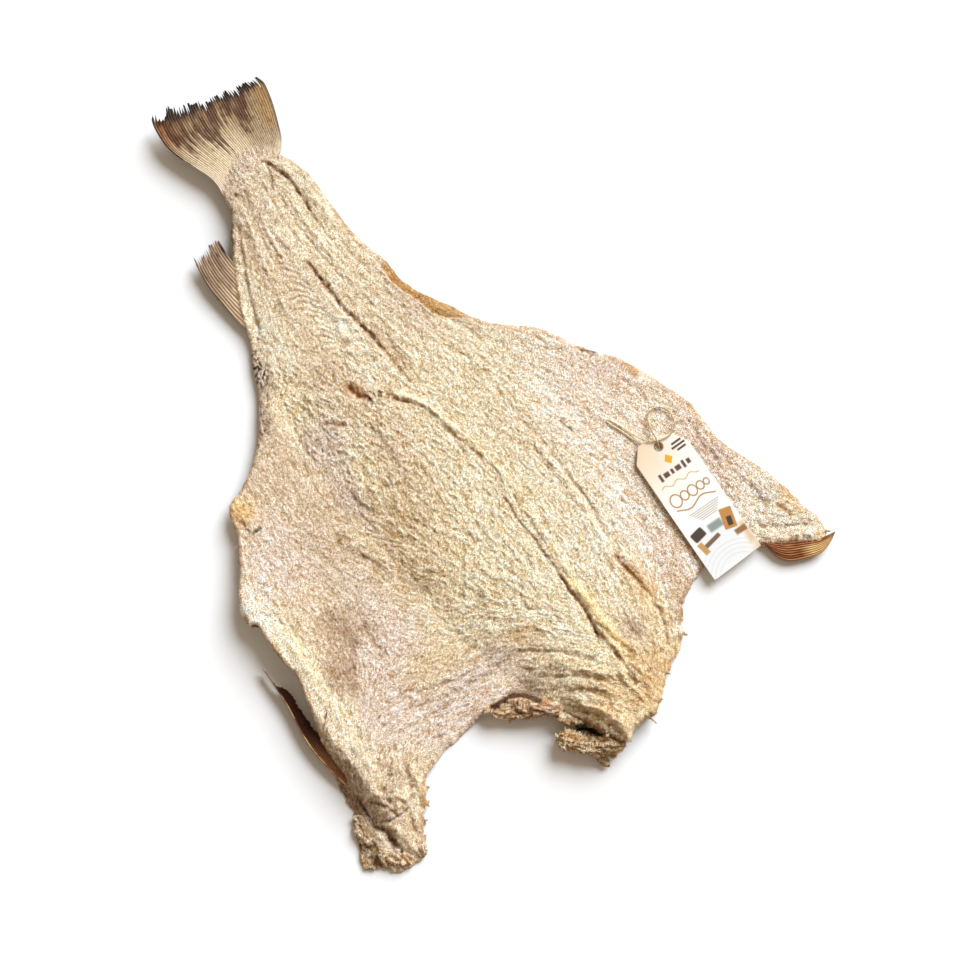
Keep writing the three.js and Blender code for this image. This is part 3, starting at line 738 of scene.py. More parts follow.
# Folds, ridges and cracks of the flesh side
# Rise in millimetres, half width, and the line: positive lines stand up, negative ones sink.
FOLDS = [
    (-4.0, 1.5, [(-20, 293), (-14, 284), (-11, 275), (-8, 268), (-5, 261), (-4, 250), (-3, 238), (-3, 220)]),
    (-1.2, 1.6, [(-3, 222), (-2, 205), (0, 180), (3, 160)]),
    (4.0, 7.5, [(-4, 286), (2, 268), (7, 248), (9, 224), (10, 200)]),
    (1.4, 2.2, [(-58, 272), (-62, 240), (-68, 205), (-72, 170), (-74, 140)]),
    (-1.0, 1.4, [(-50, 276), (-54, 240), (-60, 205), (-63, 175)]),
    (1.2, 2.0, [(-44, 282), (-47, 250), (-50, 215), (-50, 190)]),
    (1.3, 2.0, [(-28, 280), (-28, 250), (-27, 215), (-24, 190)]),
    (-1.1, 1.4, [(-22, 262), (-22, 235), (-20, 205), (-16, 175), (-10, 140)]),
    (1.2, 2.2, [(-14, 240), (-12, 210), (-8, 175), (-2, 140), (6, 110)]),
    (-1.0, 1.5, [(8, 215), (8, 180), (14, 145), (22, 110), (30, 80)]),
    (-1.8, 1.4, [(-17, 287), (-18, 276), (-22, 264), (-27, 255)]),
    (-1.2, 1.8, [(-60, 275), (-55, 268), (-52, 262)]),
    (2.8, 4.2, [(-72, 262), (-82, 238), (-98, 205), (-112, 168), (-118, 138)]),
    (-2.6, 1.6, [(-68, 256), (-78, 228), (-90, 198), (-101, 165), (-106, 140)]),
    (2.6, 8.0, [(-38, 270), (-38, 200), (-36, 130), (-36, 60)]),
    (-4.4, 2.3, [(-31, 184), (-31, 172), (-30, 158), (-27, 145), (-26, 130), (-24, 118), (-20, 103),
        (-17, 90)]),
    (-3.4, 1.8, [(-20, 103), (-17, 90), (-14, 75), (-11, 60), (-10, 52), (-9, 42)]),
    (-2.4, 8.0, [(-12, 110), (-8, 90), (-5, 65), (-4, 40)]),
    (1.6, 6.0, [(-28, 120), (-24, 90), (-20, 60)]),
    (-5.0, 4.2, [(-60, 55), (-57, 44), (-55, 33)]),
    (2.2, 3.0, [(-45, 26), (-46, 34), (-40, 38), (-35, 35)]),
    (-2.2, 2.2, [(-42, 32), (-38, 30)]),
    (1.6, 1.2, [(-44, 31), (-42, 35), (-38, 36), (-35, 33), (-36, 29), (-40, 27), (-44, 29)]),
    (-2.4, 1.5, [(-36, 34), (-31, 25), (-27, 19), (-20, 12), (-15, 6), (-8, -2), (-4, -14)]),
    (3.0, 2.6, [(-28, 27), (-20, 19), (-12, 9), (-5, -4), (0, -17), (4, -30), (10, -45)]),
    (2.0, 4.0, [(8, -40), (14, -60), (19, -78), (23, -100), (27, -128)]),
    (-1.4, 2.2, [(-1, -30), (5, -48), (11, -62), (16, -78), (19, -95)]),
    (-1.6, 2.0, [(-98, 36), (-88, 29), (-80, 22)]),
    (-2.2, 1.4, [(12, -108), (13, -125), (12, -140), (14, -155), (16, -172), (18, -190), (18, -215)]),
    (-3.6, 1.4, [(18, -205), (20, -230), (22, -245), (21, -262), (19, -278)]),
    (2.6, 4.5, [(24, -130), (25, -160), (26, -190), (27, -215)]),
    (5.0, 5.0, [(23, -215), (27, -240), (29, -255), (27, -272), (28, -292), (33, -308)]),
    (3.6, 3.8, [(29, -262), (33, -280), (41, -298), (50, -308)]),
    (-3.0, 1.8, [(24, -292), (26, -308), (28, -322), (30, -336)]),
    (2.4, 2.6, [(22, -310), (21, -326), (24, -342), (28, -352)]),
    (2.2, 2.8, [(36, -312), (38, -328), (36, -342)]),
    (-1.6, 2.4, [(62, -10), (60, -30), (64, -50), (68, -66), (71, -80), (74, -98)]),
    (-2.0, 1.8, [(73, -95), (76, -118), (78, -140), (80, -158), (79, -180), (78, -198)]),
    (-3.6, 2.0, [(76, -214), (75, -222), (78, -232), (80, -245), (83, -256), (84, -265), (83, -275)]),
    (-2.4, 1.8, [(83, -275), (85, -285), (82, -298), (77, -309), (66, -316), (50, -318)]),
    (1.8, 5.0, [(66, -70), (70, -110), (72, -150), (71, -190), (69, -220), (72, -245), (77, -265)]),
    (-1.8, 3.0, [(40, 45), (46, 30), (52, 20), (50, 8), (58, -4)]),
    (-1.4, 2.0, [(66, 52), (71, 38), (78, 24)]),
    (-1.8, 2.0, [(-216, 0), (-213, -18), (-202, -21)]),
    (-1.8, 6.0, [(-150, -50), (-135, -85), (-118, -110), (-104, -130), (-88, -164)]),
    (-1.4, 2.2, [(-147, -62), (-140, -82), (-128, -98), (-122, -112)]),
    (-1.2, 2.4, [(-112, -28), (-108, -48), (-100, -60), (-92, -72)]),
    (-1.2, 2.2, [(-86, -44), (-72, -50), (-60, -55)]),
    (1.6, 2.2, [(-174, -152), (-173, -165), (-170, -182)]),
    (-1.6, 5.0, [(-167, -140), (-166, -165), (-163, -190)]),
    (-1.4, 1.6, [(-214, -181), (-203, -180), (-192, -181)]),
    (-1.2, 2.4, [(-182, -158), (-188, -172), (-198, -186), (-206, -202)]),
    (-1.2, 1.6, [(-178, -228), (-164, -224), (-150, -232), (-130, -236), (-112, -240), (-92, -240)]),
    (-1.1, 1.8, [(-165, -240), (-148, -246), (-122, -249), (-96, -250), (-74, -250)]),
    (-1.1, 1.8, [(-200, -262), (-185, -255), (-160, -256), (-135, -256), (-110, -258)]),
    (1.0, 2.4, [(-150, -241), (-125, -244), (-98, -245), (-70, -243)]),
    (-2.0, 1.5, [(-166, -276), (-158, -277), (-149, -280)]),
    (3.0, 6.0, [(-226, -314), (-206, -293), (-172, -284), (-140, -281)]),
    (-1.8, 3.5, [(-219, -312), (-206, -302), (-188, -291), (-160, -285)]),
    (-1.6, 4.0, [(-224, -290), (-212, -276), (-196, -265)]),
    (-2.4, 2.4, [(-228, -290), (-228, -302), (-225, -314)]),
    (-3.0, 2.6, [(-250, -322), (-244, -333), (-248, -350)]),
    (2.0, 4.0, [(-255, -322), (-252, -336), (-254, -350)]),
    (2.4, 5.0, [(-236, -100), (-232, -150), (-232, -200), (-229, -250), (-226, -290)]),
    (-1.8, 2.4, [(-227, -108), (-223, -140), (-222, -175), (-219, -210), (-222, -240)]),
    (-1.8, 1.6, [(-244, -90), (-236, -102), (-228, -116)]),
    (2.0, 3.4, [(-226, -62), (-222, -80), (-226, -95)]),
    (-3.4, 3.0, [(-62, -262), (-40, -276), (-18, -291), (2, -308), (14, -322), (22, -336)]),
    (-3.0, 2.6, [(-52, -274), (-28, -290), (-8, -304), (6, -320), (14, -336)]),
    (-2.8, 2.6, [(-50, -291), (-28, -304), (-10, -318), (4, -336)]),
    (-2.4, 2.4, [(-56, -246), (-34, -258), (-12, -276), (8, -296)]),
    (3.2, 3.0, [(-54, -268), (-30, -283), (-6, -299), (10, -316)]),
    (-3.2, 3.2, [(-40, -318), (-22, -332), (-14, -350), (-8, -366)]),
    (3.4, 3.4, [(-30, -318), (-16, -334), (-6, -352), (-2, -366)]),
    (-1.4, 2.0, [(-16, -196), (-24, -206), (-22, -218), (-12, -228)]),
    (-1.6, 6.0, [(44, -270), (52, -286), (56, -300)]),
    (-1.6, 2.0, [(120, -196), (112, -206), (104, -212), (92, -216)]),
    (-1.6, 2.2, [(168, -70), (174, -78), (177, -90), (181, -104)]),
    (-1.4, 2.0, [(128, -78), (126, -88), (132, -100)]),
    (-2.0, 2.2, [(206, -140), (205, -160), (208, -180), (207, -198)]),
    (-1.6, 2.2, [(214, -200), (219, -216), (224, -232), (222, -250)]),
    (2.6, 4.0, [(204, -272), (222, -284), (242, -292), (256, -300)]),
    (-2.4, 2.4, [(206, -262), (226, -274), (246, -284), (258, -290)]),
    (-2.0, 2.0, [(234, -252), (238, -262), (240, -272)]),
    (-3.0, 2.0, [(-253, -282), (-252, -300), (-252, -316), (-247, -330), (-243, -348), (-240, -362)]),
    (3.2, 2.8, [(-240, -292), (-230, -300), (-216, -310), (-212, -316)]),
    (-3.0, 1.6, [(-246, -296), (-238, -304), (-230, -316), (-229, -324)]),
    (3.0, 2.4, [(-246, -312), (-232, -312), (-220, -316)]),
    (-2.2, 1.6, [(-248, -318), (-236, -322), (-222, -322), (-214, -320)]),
    (3.4, 3.6, [(-244, -322), (-236, -334), (-232, -348), (-232, -362)]),
    (-1.6, 1.4, [(-206, -296), (-202, -312), (-207, -328), (-206, -344)]),
    (2.2, 4.0, [(-196, -284), (-196, -304), (-201, -322)]),
    (2.4, 3.6, [(-252, -268), (-250, -286), (-246, -300)]),
    (-2.6, 2.6, [(-214, -318), (-208, -312), (-202, -296), (-196, -280), (-190, -266)]),
    (-1.8, 2.0, [(-216, -324), (-222, -338), (-220, -352)]),
    (-1.6, 1.8, [(128, 8), (132, 0), (136, -6)]),
    (-1.4, 1.6, [(120, 12), (124, 2), (126, -6)]),
]

# How strong the fine relief is there: x, y, reach along x and y, and the factor.
CALM = [
    (-226, -332, 20, 30, 0.9), (-200, -210, 40, 60, 1.35), (-200, -60, 40, 60, 1.15), (-35, 150, 9, 90, 0.75),
    (-90, -90, 30, 50, 1.2), (-120, 20, 40, 40, 1.2), (20, -330, 40, 24, 1.25), (-60, 300, 22, 14, 0.7),
    (150, -100, 50, 70, 0.8), (-60, 170, 34, 90, 0.72), (-20, 230, 34, 60, 0.8), (-170, -290, 40, 12, 0.7),
    (-238, -170, 10, 90, 0.8),
]


def bump_field(x, y, reach_x, reach_y):
    return np.exp(-(((X - x) / reach_x) ** 2) - ((Y - y) / reach_y) ** 2)


def taper(along, share=0.12):
    return ease(0, share, along) * ease(1, 1 - share, along)


calm = np.ones(X.shape)
for x, y, reach_x, reach_y, factor in CALM:
    calm *= 1 + (factor - 1) * bump_field(x, y, reach_x, reach_y)

# Smooth or rough strips: the factor, half width and line.
STRIPS = [
    (0.25, 4.5, [(23, -205), (27, -240), (30, -260), (33, -285), (42, -300), (52, -312)]),
    (0.35, 5.0, [(-246, -70), (-238, -110), (-236, -160), (-236, -210), (-232, -260), (-228, -300)]),
    (0.45, 5.0, [(-232, -318), (-228, -340), (-226, -360)]),
    (0.5, 5.0, [(-212, -300), (-190, -282), (-160, -280), (-130, -284)]),
    (1.2, 6.0, [(-236, -322), (-242, -340), (-240, -360)]),
    (0.5, 4.0, [(-4, 286), (4, 262), (9, 236), (10, 200)]),
    (0.55, 9.0, [(-88, 210), (-95, 170), (-97, 130), (-92, 95)]),
    (0.6, 9.0, [(-40, 215), (-42, 160), (-45, 110), (-50, 80)]),
    (0.5, 7.0, [(-238, -110), (-226, -170), (-214, -220), (-196, -262)]),
    (0.7, 14.0, [(-20, -190), (6, -225), (20, -262)]),
]
for factor, width, points in STRIPS:
    distance, along = line_field(points, 3 * width)
    calm *= 1 + (factor - 1) * hump(distance, width) * taper(along)

fold_height = np.zeros(X.shape)
uneven = np.clip(0.85 + 0.6 * noise(X, Y, 9, 37), 0.25, 1.4)
for rise, width, points in FOLDS:
    distance, along = line_field(points, 3 * width)
    wobble = width * (1 + 0.3 * noise(X, Y, 7, 31))
    near = distance < 3 * width
    fold_height[near] += (rise * uneven * hump(distance, wobble) * taper(along))[near]

ladder = bump_field(-54, 150, 9, 80) * ease(250, 235, Y)
ladder *= np.cos((Y + 0.05 * (X + 62) ** 2 + 2.0 * noise(X, Y, 14, 33)) * 2 * np.pi / 7.6)

body = body_depth(X, Y)
creases = hump(short_fibres, 0.32)
cracks = hump(ropes, 0.20)
fine = 0.25 * threads + 0.18 * short_fibres - 0.24 * creases + 0.12 * ropes - 0.24 * cracks + 0.2 * granules
broad = 0.13 * strands + 0.17 * lumps
relief = 0.3 * crags(X, Y) + fold_height + calm * (fine + broad) + 0.55 * ladder
depth = np.maximum(0.45 * body, body + relief * ease(1, 9, body))

RIM_ROUND = 3.2
RIM_SHARE = 0.36  # how high the outermost points stand, as a share of the thickness
rim = np.clip(inset / RIM_ROUND, 0, 1)
shrink = (0.62 + 0.38 * (1 - np.exp(-np.maximum(inset, 0) / 5))) * (0.5 + 0.5 * np.sqrt(rim * (2 - rim)))
under = underside(X, Y)
top = under + depth * shrink
root_reach = ease(0, 26, inset + 1.6 * noise(X, Y, 7, 35) + 0.8 * noise(X, Y, 3, 36))
at_root = ease(272, 292, Y)
RAYS_FROM = (-49, 155)  # where the tail fin's rays would meet
RAY_ANGLE = 0.031
ray_turn = np.arctan2(X - RAYS_FROM[0], Y - RAYS_FROM[1])
root_rays = np.cos(ray_turn * 2 * np.pi / RAY_ANGLE + 1.2 * noise(X, Y, 8, 63))
top = mix(top, mix(under + 3.4 + 0.5 * root_rays, top, root_reach), at_root)

# The flesh stays below the tag and the twine by these gaps, and rises again on both sides of the twine.
TAG_GAP, TWINE_GAP = 0.5, 0.15
TWINE_GROOVE, GROOVE_SLOPE = 1.2, 0.6
TAG_HOLE_AT = (167, -147.8, 10.1)
TAG_TURN = math.radians(2.9)
TAG_TILT = (-0.0065, -0.02)
tag_place = (Matrix.Translation(TAG_HOLE_AT) @ Matrix.Rotation(TAG_TURN, 4, "Z")
             @ Matrix.Rotation(TAG_TILT[1], 4, "Y") @ Matrix.Rotation(TAG_TILT[0], 4, "X"))
tag_normal = tag_place.to_3x3() @ Vector((0, 0, 1))
plane = (X - TAG_HOLE_AT[0]) * tag_normal.x + (Y - TAG_HOLE_AT[1]) * tag_normal.y
plane = TAG_HOLE_AT[2] - plane / tag_normal.z
under_tag = (np.abs(X - 165) < 40) & (np.abs(Y + 212) < 88)
top[under_tag] = np.minimum(top, plane - TAG_GAP)[under_tag]
for px, py, pz in twine_line[::3]:
    i, j = grid_point(px, py)
    patch = (slice(i - 3, i + 4), slice(j - 3, j + 4))
    away = np.hypot(X[patch] - px, Y[patch] - py)
    bank = GROOVE_SLOPE * np.maximum(0, away - TWINE_GROOVE)
    top[patch] = np.minimum(top[patch], pz - TWINE_DIAMETER / 2 - TWINE_GAP + bank)


# Colours of the flesh side
TINTS = {name: linear(colour) for name, colour in {
    "cream": (232, 213, 180), "pale": (232, 216, 188), "straw": (234, 215, 178), "pink": (244, 226, 208),
    "rosy": (216, 196, 180), "tail": (206, 186, 158), "tan": (214, 191, 160), "olive": (211, 186, 149),
    "grey": (206, 183, 157), "ash": (214, 196, 180), "brown": (164, 140, 114),
    "painted_light": (250, 238, 218), "amber": (222, 186, 132), "hollow_shade": (180, 152, 124),
    "honey": (216, 184, 136), "sand": (222, 205, 174),
}.items()}
# Where each tint lies: the tint, x, y and its reach along x and y. The palest zones, on the right wing and at
# the left flap's rim, are painted light where those faces turn to the lamp; the dusky zones in the hollows of
# the left flap and near the neck on the right, and the brown zone along the bay's edge, are painted shade;
# the olive zones on the left slope, turned away from the lamp, are darker partly as painted shade.
ZONES = [
    ("cream", 0, 0, 900, 900), ("tail", -45, 265, 45, 45), ("ash", -45, 297, 30, 14),
    ("sand", -10, 215, 26, 60), ("cream", 2, 160, 22, 40), ("pale", 170, -120, 34, 60),
    ("tan", -60, 185, 26, 60), ("pale", -98, 150, 16, 44), ("pale", -38, 140, 9, 100),
    ("pale", -45, 118, 10, 22), ("tan", -72, 75, 26, 34), ("tail", 5, 150, 26, 40), ("grey", 35, 100, 16, 34),
    ("brown", -129, 112, 9, 18), ("brown", -148, 76, 10, 22), ("tan", -165, 45, 14, 16),
    ("straw", -115, 62, 18, 24), ("grey", -165, 15, 28, 34), ("ash", -105, 20, 20, 22),
    ("tan", -140, -10, 30, 30), ("amber", -210, 5, 12, 14), ("rosy", -205, -55, 32, 34),
    ("ash", -112, -30, 12, 40), ("straw", -85, -20, 18, 30), ("grey", -160, -55, 18, 30),
    ("olive", -118, -100, 26, 44), ("olive", -72, -90, 22, 60), ("tan", -55, -20, 18, 40),
    ("straw", -50, -150, 26, 40), ("painted_light", -246, -84, 12, 22), ("pale", -236, -170, 9, 70),
    ("straw", -230, -150, 8, 34), ("straw", -220, -222, 7, 24), ("tan", -188, -110, 24, 30),
    ("ash", -150, -120, 20, 30), ("rosy", -150, -175, 24, 24), ("hollow_shade", -182, -142, 18, 22),
    ("hollow_shade", -206, -184, 16, 18), ("rosy", -180, -205, 20, 24), ("rosy", -190, -235, 30, 20),
    ("olive", -120, -215, 34, 16), ("ash", -100, -245, 50, 14), ("cream", -80, -200, 26, 20),
    ("rosy", -130, -270, 50, 12), ("tan", -205, -285, 22, 18), ("tan", -225, -335, 14, 28),
    ("straw", -200, -310, 14, 10), ("brown", -252, -290, 10, 40), ("tan", -254, -335, 9, 20),
    ("sand", 58, 0, 34, 60), ("sand", 70, -100, 28, 50), ("pale", 55, -180, 30, 60),
    ("cream", 0, -100, 30, 80), ("straw", 0, -200, 30, 60), ("straw", 24, -120, 12, 60),
    ("straw", 26, -280, 14, 60), ("honey", 34, -336, 40, 24), ("honey", -40, -240, 16, 14),
    ("pale", 0, -225, 30, 30), ("straw", -40, -306, 16, 18), ("brown", -62, -282, 18, 8),
    ("pink", 130, -60, 40, 60), ("pink", 150, -130, 50, 60), ("rosy", 160, -60, 22, 36),
    ("pink", 120, -210, 24, 60), ("rosy", 118, -240, 14, 20), ("tan", 112, -262, 10, 14),
    ("rosy", 205, -170, 20, 50), ("painted_light", 224, -238, 20, 26), ("painted_light", 238, -272, 22, 16),
    ("tan", 225, -282, 16, 8), ("amber", 248, -258, 10, 16), ("hollow_shade", 50, -286, 10, 14),
    ("honey", 78, -255, 14, 26), ("pale", 58, -235, 14, 30),
]
# Stains and dark and light lines: colour, strength, half width and the line. The dark lines laid in sunken
# folds and cracks are painted shade, and the pale ones along raised folds are painted highlights, as marked
# below; the others are stains and tones of the flesh.
STAINS_AND_PAINTED_SHADING = [
    # Painted shade in the grooves at the tail end and in the long groove.
    ((110, 52, 12), 0.95, 1.5, [(-19, 292), (-14, 284), (-11, 275), (-8, 268), (-5, 260)]),
    ((120, 78, 36), 0.75, 1.3, [(-7, 264), (-4, 250), (-3, 238), (-3, 222), (-2, 205)]),
    ((150, 112, 70), 0.55, 1.4, [(-17, 287), (-18, 276), (-22, 264), (-27, 255)]),
    ((150, 118, 80), 0.45, 1.6, [(-60, 275), (-55, 268), (-52, 262)]),
    ((112, 50, 10), 1.0, 2.0, [(-31, 184), (-31, 172), (-30, 158), (-27, 145), (-26, 130), (-24, 118),
        (-20, 103)]),
    ((120, 58, 14), 0.97, 1.8, [(-20, 103), (-17, 90), (-14, 75), (-11, 60), (-10, 52)]),
    ((150, 88, 34), 0.85, 1.5, [(-11, 56), (-9, 42), (-7, 32), (-5, 26)]),
    # Painted shade on the slopes on both sides of the long groove.
    ((176, 146, 108), 0.6, 6.0, [(-10, 96), (-6, 75), (-4, 50), (-5, 34)]),
    ((185, 152, 110), 0.45, 3.2, [(-33, 184), (-34, 165), (-32, 148)]),
    ((168, 82, 20), 0.9, 2.4, [(-62, 52), (-57, 45), (-53, 39), (-48, 34)]),
    ((84, 36, 16), 0.9, 1.4, [(-51, 38), (-48, 33), (-47, 28)]),
    ((204, 150, 86), 0.6, 6.0, [(-68, 58), (-58, 49), (-50, 42)]),
    ((160, 110, 56), 0.7, 1.8, [(-42, 33), (-38, 29), (-36, 33)]),
    ((172, 96, 22), 0.9, 1.3, [(-34, 28), (-29, 21), (-20, 12), (-15, 6), (-9, -2)]),
    ((205, 170, 112), 0.5, 5.0, [(-40, 44), (-30, 34), (-24, 26)]),
    # Painted shade in two shallow grooves.
    ((170, 128, 70), 0.6, 1.5, [(-1, -30), (5, -48), (11, -62), (16, -78)]),
    ((170, 116, 52), 0.75, 1.8, [(-98, 36), (-88, 29), (-80, 22)]),
    # Painted highlight along the raised ridge beside the spine crack.
    ((250, 238, 208), 0.7, 2.2, [(-28, 27), (-20, 19), (-12, 9), (-5, -4), (0, -17)]),
    # Painted shade in the grooves of the right loin.
    ((134, 86, 38), 0.75, 1.4, [(12, -108), (13, -125), (12, -140), (14, -155), (16, -172), (18, -200)]),
    ((140, 78, 22), 0.9, 1.5, [(18, -205), (20, -230), (22, -246), (21, -262), (19, -278)]),
    # Painted highlight over the yellow tone of the raised ridge.
    ((244, 218, 162), 0.85, 5.0, [(24, -205), (27, -235), (30, -256), (31, -275), (36, -295), (44, -306)]),
    # Painted shade in the groove beside the ridge.
    ((180, 120, 56), 0.75, 1.5, [(22, -272), (26, -290), (27, -304), (30, -318)]),
    ((214, 170, 98), 0.6, 3.0, [(29, -262), (33, -280), (38, -300), (37, -322)]),
    # Painted shade at the groove's lower end.
    ((104, 46, 16), 0.95, 2.2, [(24, -318), (27, -324), (29, -333)]),
    ((200, 160, 104), 0.45, 6.0, [(60, -322), (44, -330), (24, -348), (6, -352)]),
    # Painted shade in the grooves on the right of the loin.
    ((178, 140, 104), 0.5, 1.6, [(64, -52), (68, -66), (71, -80), (74, -98)]),
    ((160, 120, 78), 0.6, 1.3, [(73, -95), (76, -118), (78, -140), (80, -158), (79, -180), (77, -198)]),
    ((124, 66, 18), 0.92, 2.2, [(76, -214), (75, -222), (78, -232), (80, -245), (83, -256), (84, -266)]),
    ((140, 92, 48), 0.75, 1.3, [(83, -272), (85, -285), (82, -298), (77, -309)]),
    ((196, 170, 120), 0.55, 2.6, [(80, -308), (66, -316), (50, -318)]),
    ((120, 82, 46), 0.8, 2.2, [(119, -280), (110, -286), (104, -293), (100, -300)]),
    ((196, 158, 108), 0.5, 5.0, [(128, -272), (112, -278), (102, -290), (96, -304)]),
    ((64, 48, 36), 0.9, 0.9, [(98, -76), (101, -83), (104, -91)]),
    ((60, 44, 32), 0.9, 1.2, [(103, -89), (104, -90.5)]),
    ((80, 58, 40), 0.85, 1.1, [(64, -108), (64, -109.5)]),
    ((70, 50, 34), 0.9, 1.2, [(64, -112), (64.5, -113.5)]),
    ((84, 62, 40), 0.8, 2.0, [(-54, -183), (-53, -187)]),
    ((120, 66, 44), 0.85, 1.6, [(-216, -284), (-213, -288)]),
    ((150, 92, 34), 0.9, 2.4, [(-217, 2), (-214, -6), (-213, -13)]),
    # Painted shade in the crack at the flap's upper corner.
    ((40, 26, 18), 0.95, 1.5, [(-214, -12), (-211, -20), (-204, -20), (-200, -20)]),
    ((226, 186, 116), 0.7, 5.0, [(-212, 12), (-208, 2), (-204, -8)]),
    ((236, 206, 160), 0.6, 5.0, [(-222, -8), (-228, -20), (-240, -36)]),
    ((78, 62, 60), 0.85, 1.4, [(155, -27), (160, -34), (166, -38)]),
    ((206, 150, 92), 0.7, 1.8, [(152, -24), (154, -29)]),
    ((206, 158, 84), 0.65, 4.0, [(180, -58), (184, -66), (187, -76)]),
    ((176, 120, 66), 0.7, 2.0, [(170, -72), (174, -78), (176, -84)]),
    ((210, 164, 96), 0.55, 2.6, [(212, -118), (216, -132), (217, -144)]),
    ((222, 196, 172), 0.5, 3.0, [(126, -78), (126, -90), (134, -104)]),
    ((186, 140, 120), 0.45, 3.0, [(203, -150), (206, -170), (207, -192)]),
    ((104, 96, 96), 0.5, 5.0, [(220, -222), (226, -234), (230, -246)]),
    ((104, 96, 96), 0.45, 2.0, [(222, -254), (226, -250), (230, -244)]),
    ((190, 138, 72), 0.6, 2.0, [(234, -252), (236, -262), (238, -270)]),
    ((190, 150, 100), 0.5, 3.0, [(244, -226), (250, -244), (254, -262)]),
    ((150, 106, 62), 0.6, 3.0, [(204, -279), (216, -287), (232, -296), (246, -304)]),
    ((216, 190, 142), 0.5, 3.0, [(256, -296), (262, -302), (254, -308)]),
    # Painted shade in the shallow grooves of the left side.
    ((110, 82, 50), 0.5, 3.0, [(-147, -62), (-140, -82), (-128, -98), (-118, -118), (-104, -140),
        (-92, -158)]),
    # Painted shade in a shallow groove.
    ((126, 104, 78), 0.45, 2.6, [(-112, -28), (-106, -50), (-98, -62)]),
    ((136, 108, 84), 0.4, 3.4, [(-128, -20), (-124, -40), (-126, -60)]),
    ((120, 92, 62), 0.5, 2.0, [(-60, 20), (-58, 0), (-57, -20), (-58, -36)]),
    # Painted shade in a shallow groove.
    ((166, 122, 64), 0.5, 2.2, [(-86, -44), (-72, -50), (-60, -55)]),
    # Painted shade in the broad hollow of the left flap.
    ((150, 118, 90), 0.4, 5.0, [(-164, -145), (-163, -165), (-161, -188)]),
    # Painted highlight on the small raised ridge.
    ((242, 230, 210), 0.6, 1.8, [(-174, -152), (-173, -165), (-170, -182)]),
    # Painted shade in the grooves across the left flap and the lower left.
    ((130, 96, 66), 0.6, 1.2, [(-214, -181), (-203, -180), (-192, -181)]),
    ((150, 118, 92), 0.4, 3.4, [(-182, -158), (-188, -172), (-198, -186), (-206, -202)]),
    ((128, 100, 72), 0.5, 1.4, [(-178, -228), (-164, -224), (-150, -232), (-130, -236), (-112, -240),
        (-92, -240)]),
    ((140, 112, 84), 0.45, 1.6, [(-165, -240), (-148, -246), (-122, -249), (-96, -250), (-74, -250)]),
    ((140, 110, 82), 0.4, 1.6, [(-200, -262), (-185, -255), (-160, -256), (-135, -256), (-110, -258)]),
    ((112, 76, 50), 0.7, 1.2, [(-166, -276), (-158, -277), (-149, -280)]),
    ((140, 104, 76), 0.45, 3.0, [(-219, -268), (-214, -278), (-204, -292), (-216, -302)]),
    # Painted shade in the groove by the wing tip.
    ((128, 88, 56), 0.6, 2.4, [(-228, -292), (-228, -304), (-224, -316)]),
    ((190, 138, 76), 0.6, 3.0, [(-178, -300), (-188, -310), (-198, -322), (-202, -330)]),
    ((204, 160, 100), 0.5, 3.0, [(-204, -334), (-214, -350), (-220, -362)]),
    ((152, 96, 44), 0.7, 3.0, [(-222, -352), (-226, -362), (-230, -367)]),
    # Painted shade in the cracks of the wing tip's fold.
    ((92, 60, 36), 0.7, 3.0, [(-262, -268), (-259, -290), (-259, -312)]),
    ((98, 62, 34), 0.8, 2.2, [(-252, -322), (-245, -330), (-246, -342), (-250, -354), (-252, -362)]),
    # Painted highlight on the raised fold of the wing tip.
    ((252, 240, 220), 0.85, 5.0, [(-253, -326), (-252, -338), (-256, -350)]),
    ((120, 84, 56), 0.6, 4.0, [(-244, -250), (-240, -268), (-238, -286)]),
    ((196, 164, 142), 0.7, 2.6, [(-251, -104), (-249, -125), (-248, -142), (-244, -160), (-246, -180),
        (-250, -202)]),
    ((130, 84, 52), 0.6, 1.4, [(-257, -94), (-251, -100), (-250, -118), (-248, -142)]),
    ((150, 102, 62), 0.7, 1.4, [(-253, -228), (-246, -220), (-238, -206)]),
    # Painted shade along and just inside the overhanging edge of the bay and the neck.
    ((72, 36, 14), 0.92, 2.8, [(-98, -283), (-80, -284), (-68, -292), (-58, -304), (-46, -322), (-36, -338),
        (-26, -354)]),
    ((150, 112, 72), 0.3, 4.0, [(-60, -290), (-44, -312), (-30, -334), (-20, -352)]),
    # Painted shade in the grooves of the neck.
    ((150, 118, 84), 0.4, 4.0, [(-62, -262), (-40, -276), (-18, -291), (2, -308), (14, -322)]),
    ((150, 118, 84), 0.35, 3.0, [(-50, -291), (-28, -304), (-10, -318), (4, -336)]),
    ((150, 108, 58), 0.5, 4.0, [(-12, -350), (-8, -364), (-4, -372)]),
    ((168, 124, 66), 0.5, 3.0, [(8, -366), (24, -364), (34, -360)]),
    # Painted highlights on the raised folds of the neck.
    ((250, 232, 198), 0.6, 2.0, [(-54, -268), (-30, -283), (-6, -299), (10, -316)]),
    ((250, 230, 192), 0.6, 2.4, [(-30, -318), (-16, -334), (-6, -352), (-2, -366)]),
    ((248, 228, 190), 0.5, 2.4, [(-56, -256), (-34, -268), (-12, -284), (8, -304), (18, -322)]),
    ((250, 232, 196), 0.6, 2.2, [(6, -338), (12, -350), (16, -360)]),
    # Painted shade just inside the overhanging edge of the bay and the neck.
    ((120, 74, 40), 0.6, 1.5, [(-70, -286), (-54, -290), (-42, -304), (-32, -322), (-22, -340)]),
    # Painted shade in the shallow hollow along the left flap.
    ((150, 120, 92), 0.5, 9.0, [(-190, -118), (-184, -140), (-178, -165)]),
    ((204, 156, 90), 0.65, 5.0, [(80, -228), (85, -250), (88, -268)]),
    # Painted shade in the groove at the tail end's left.
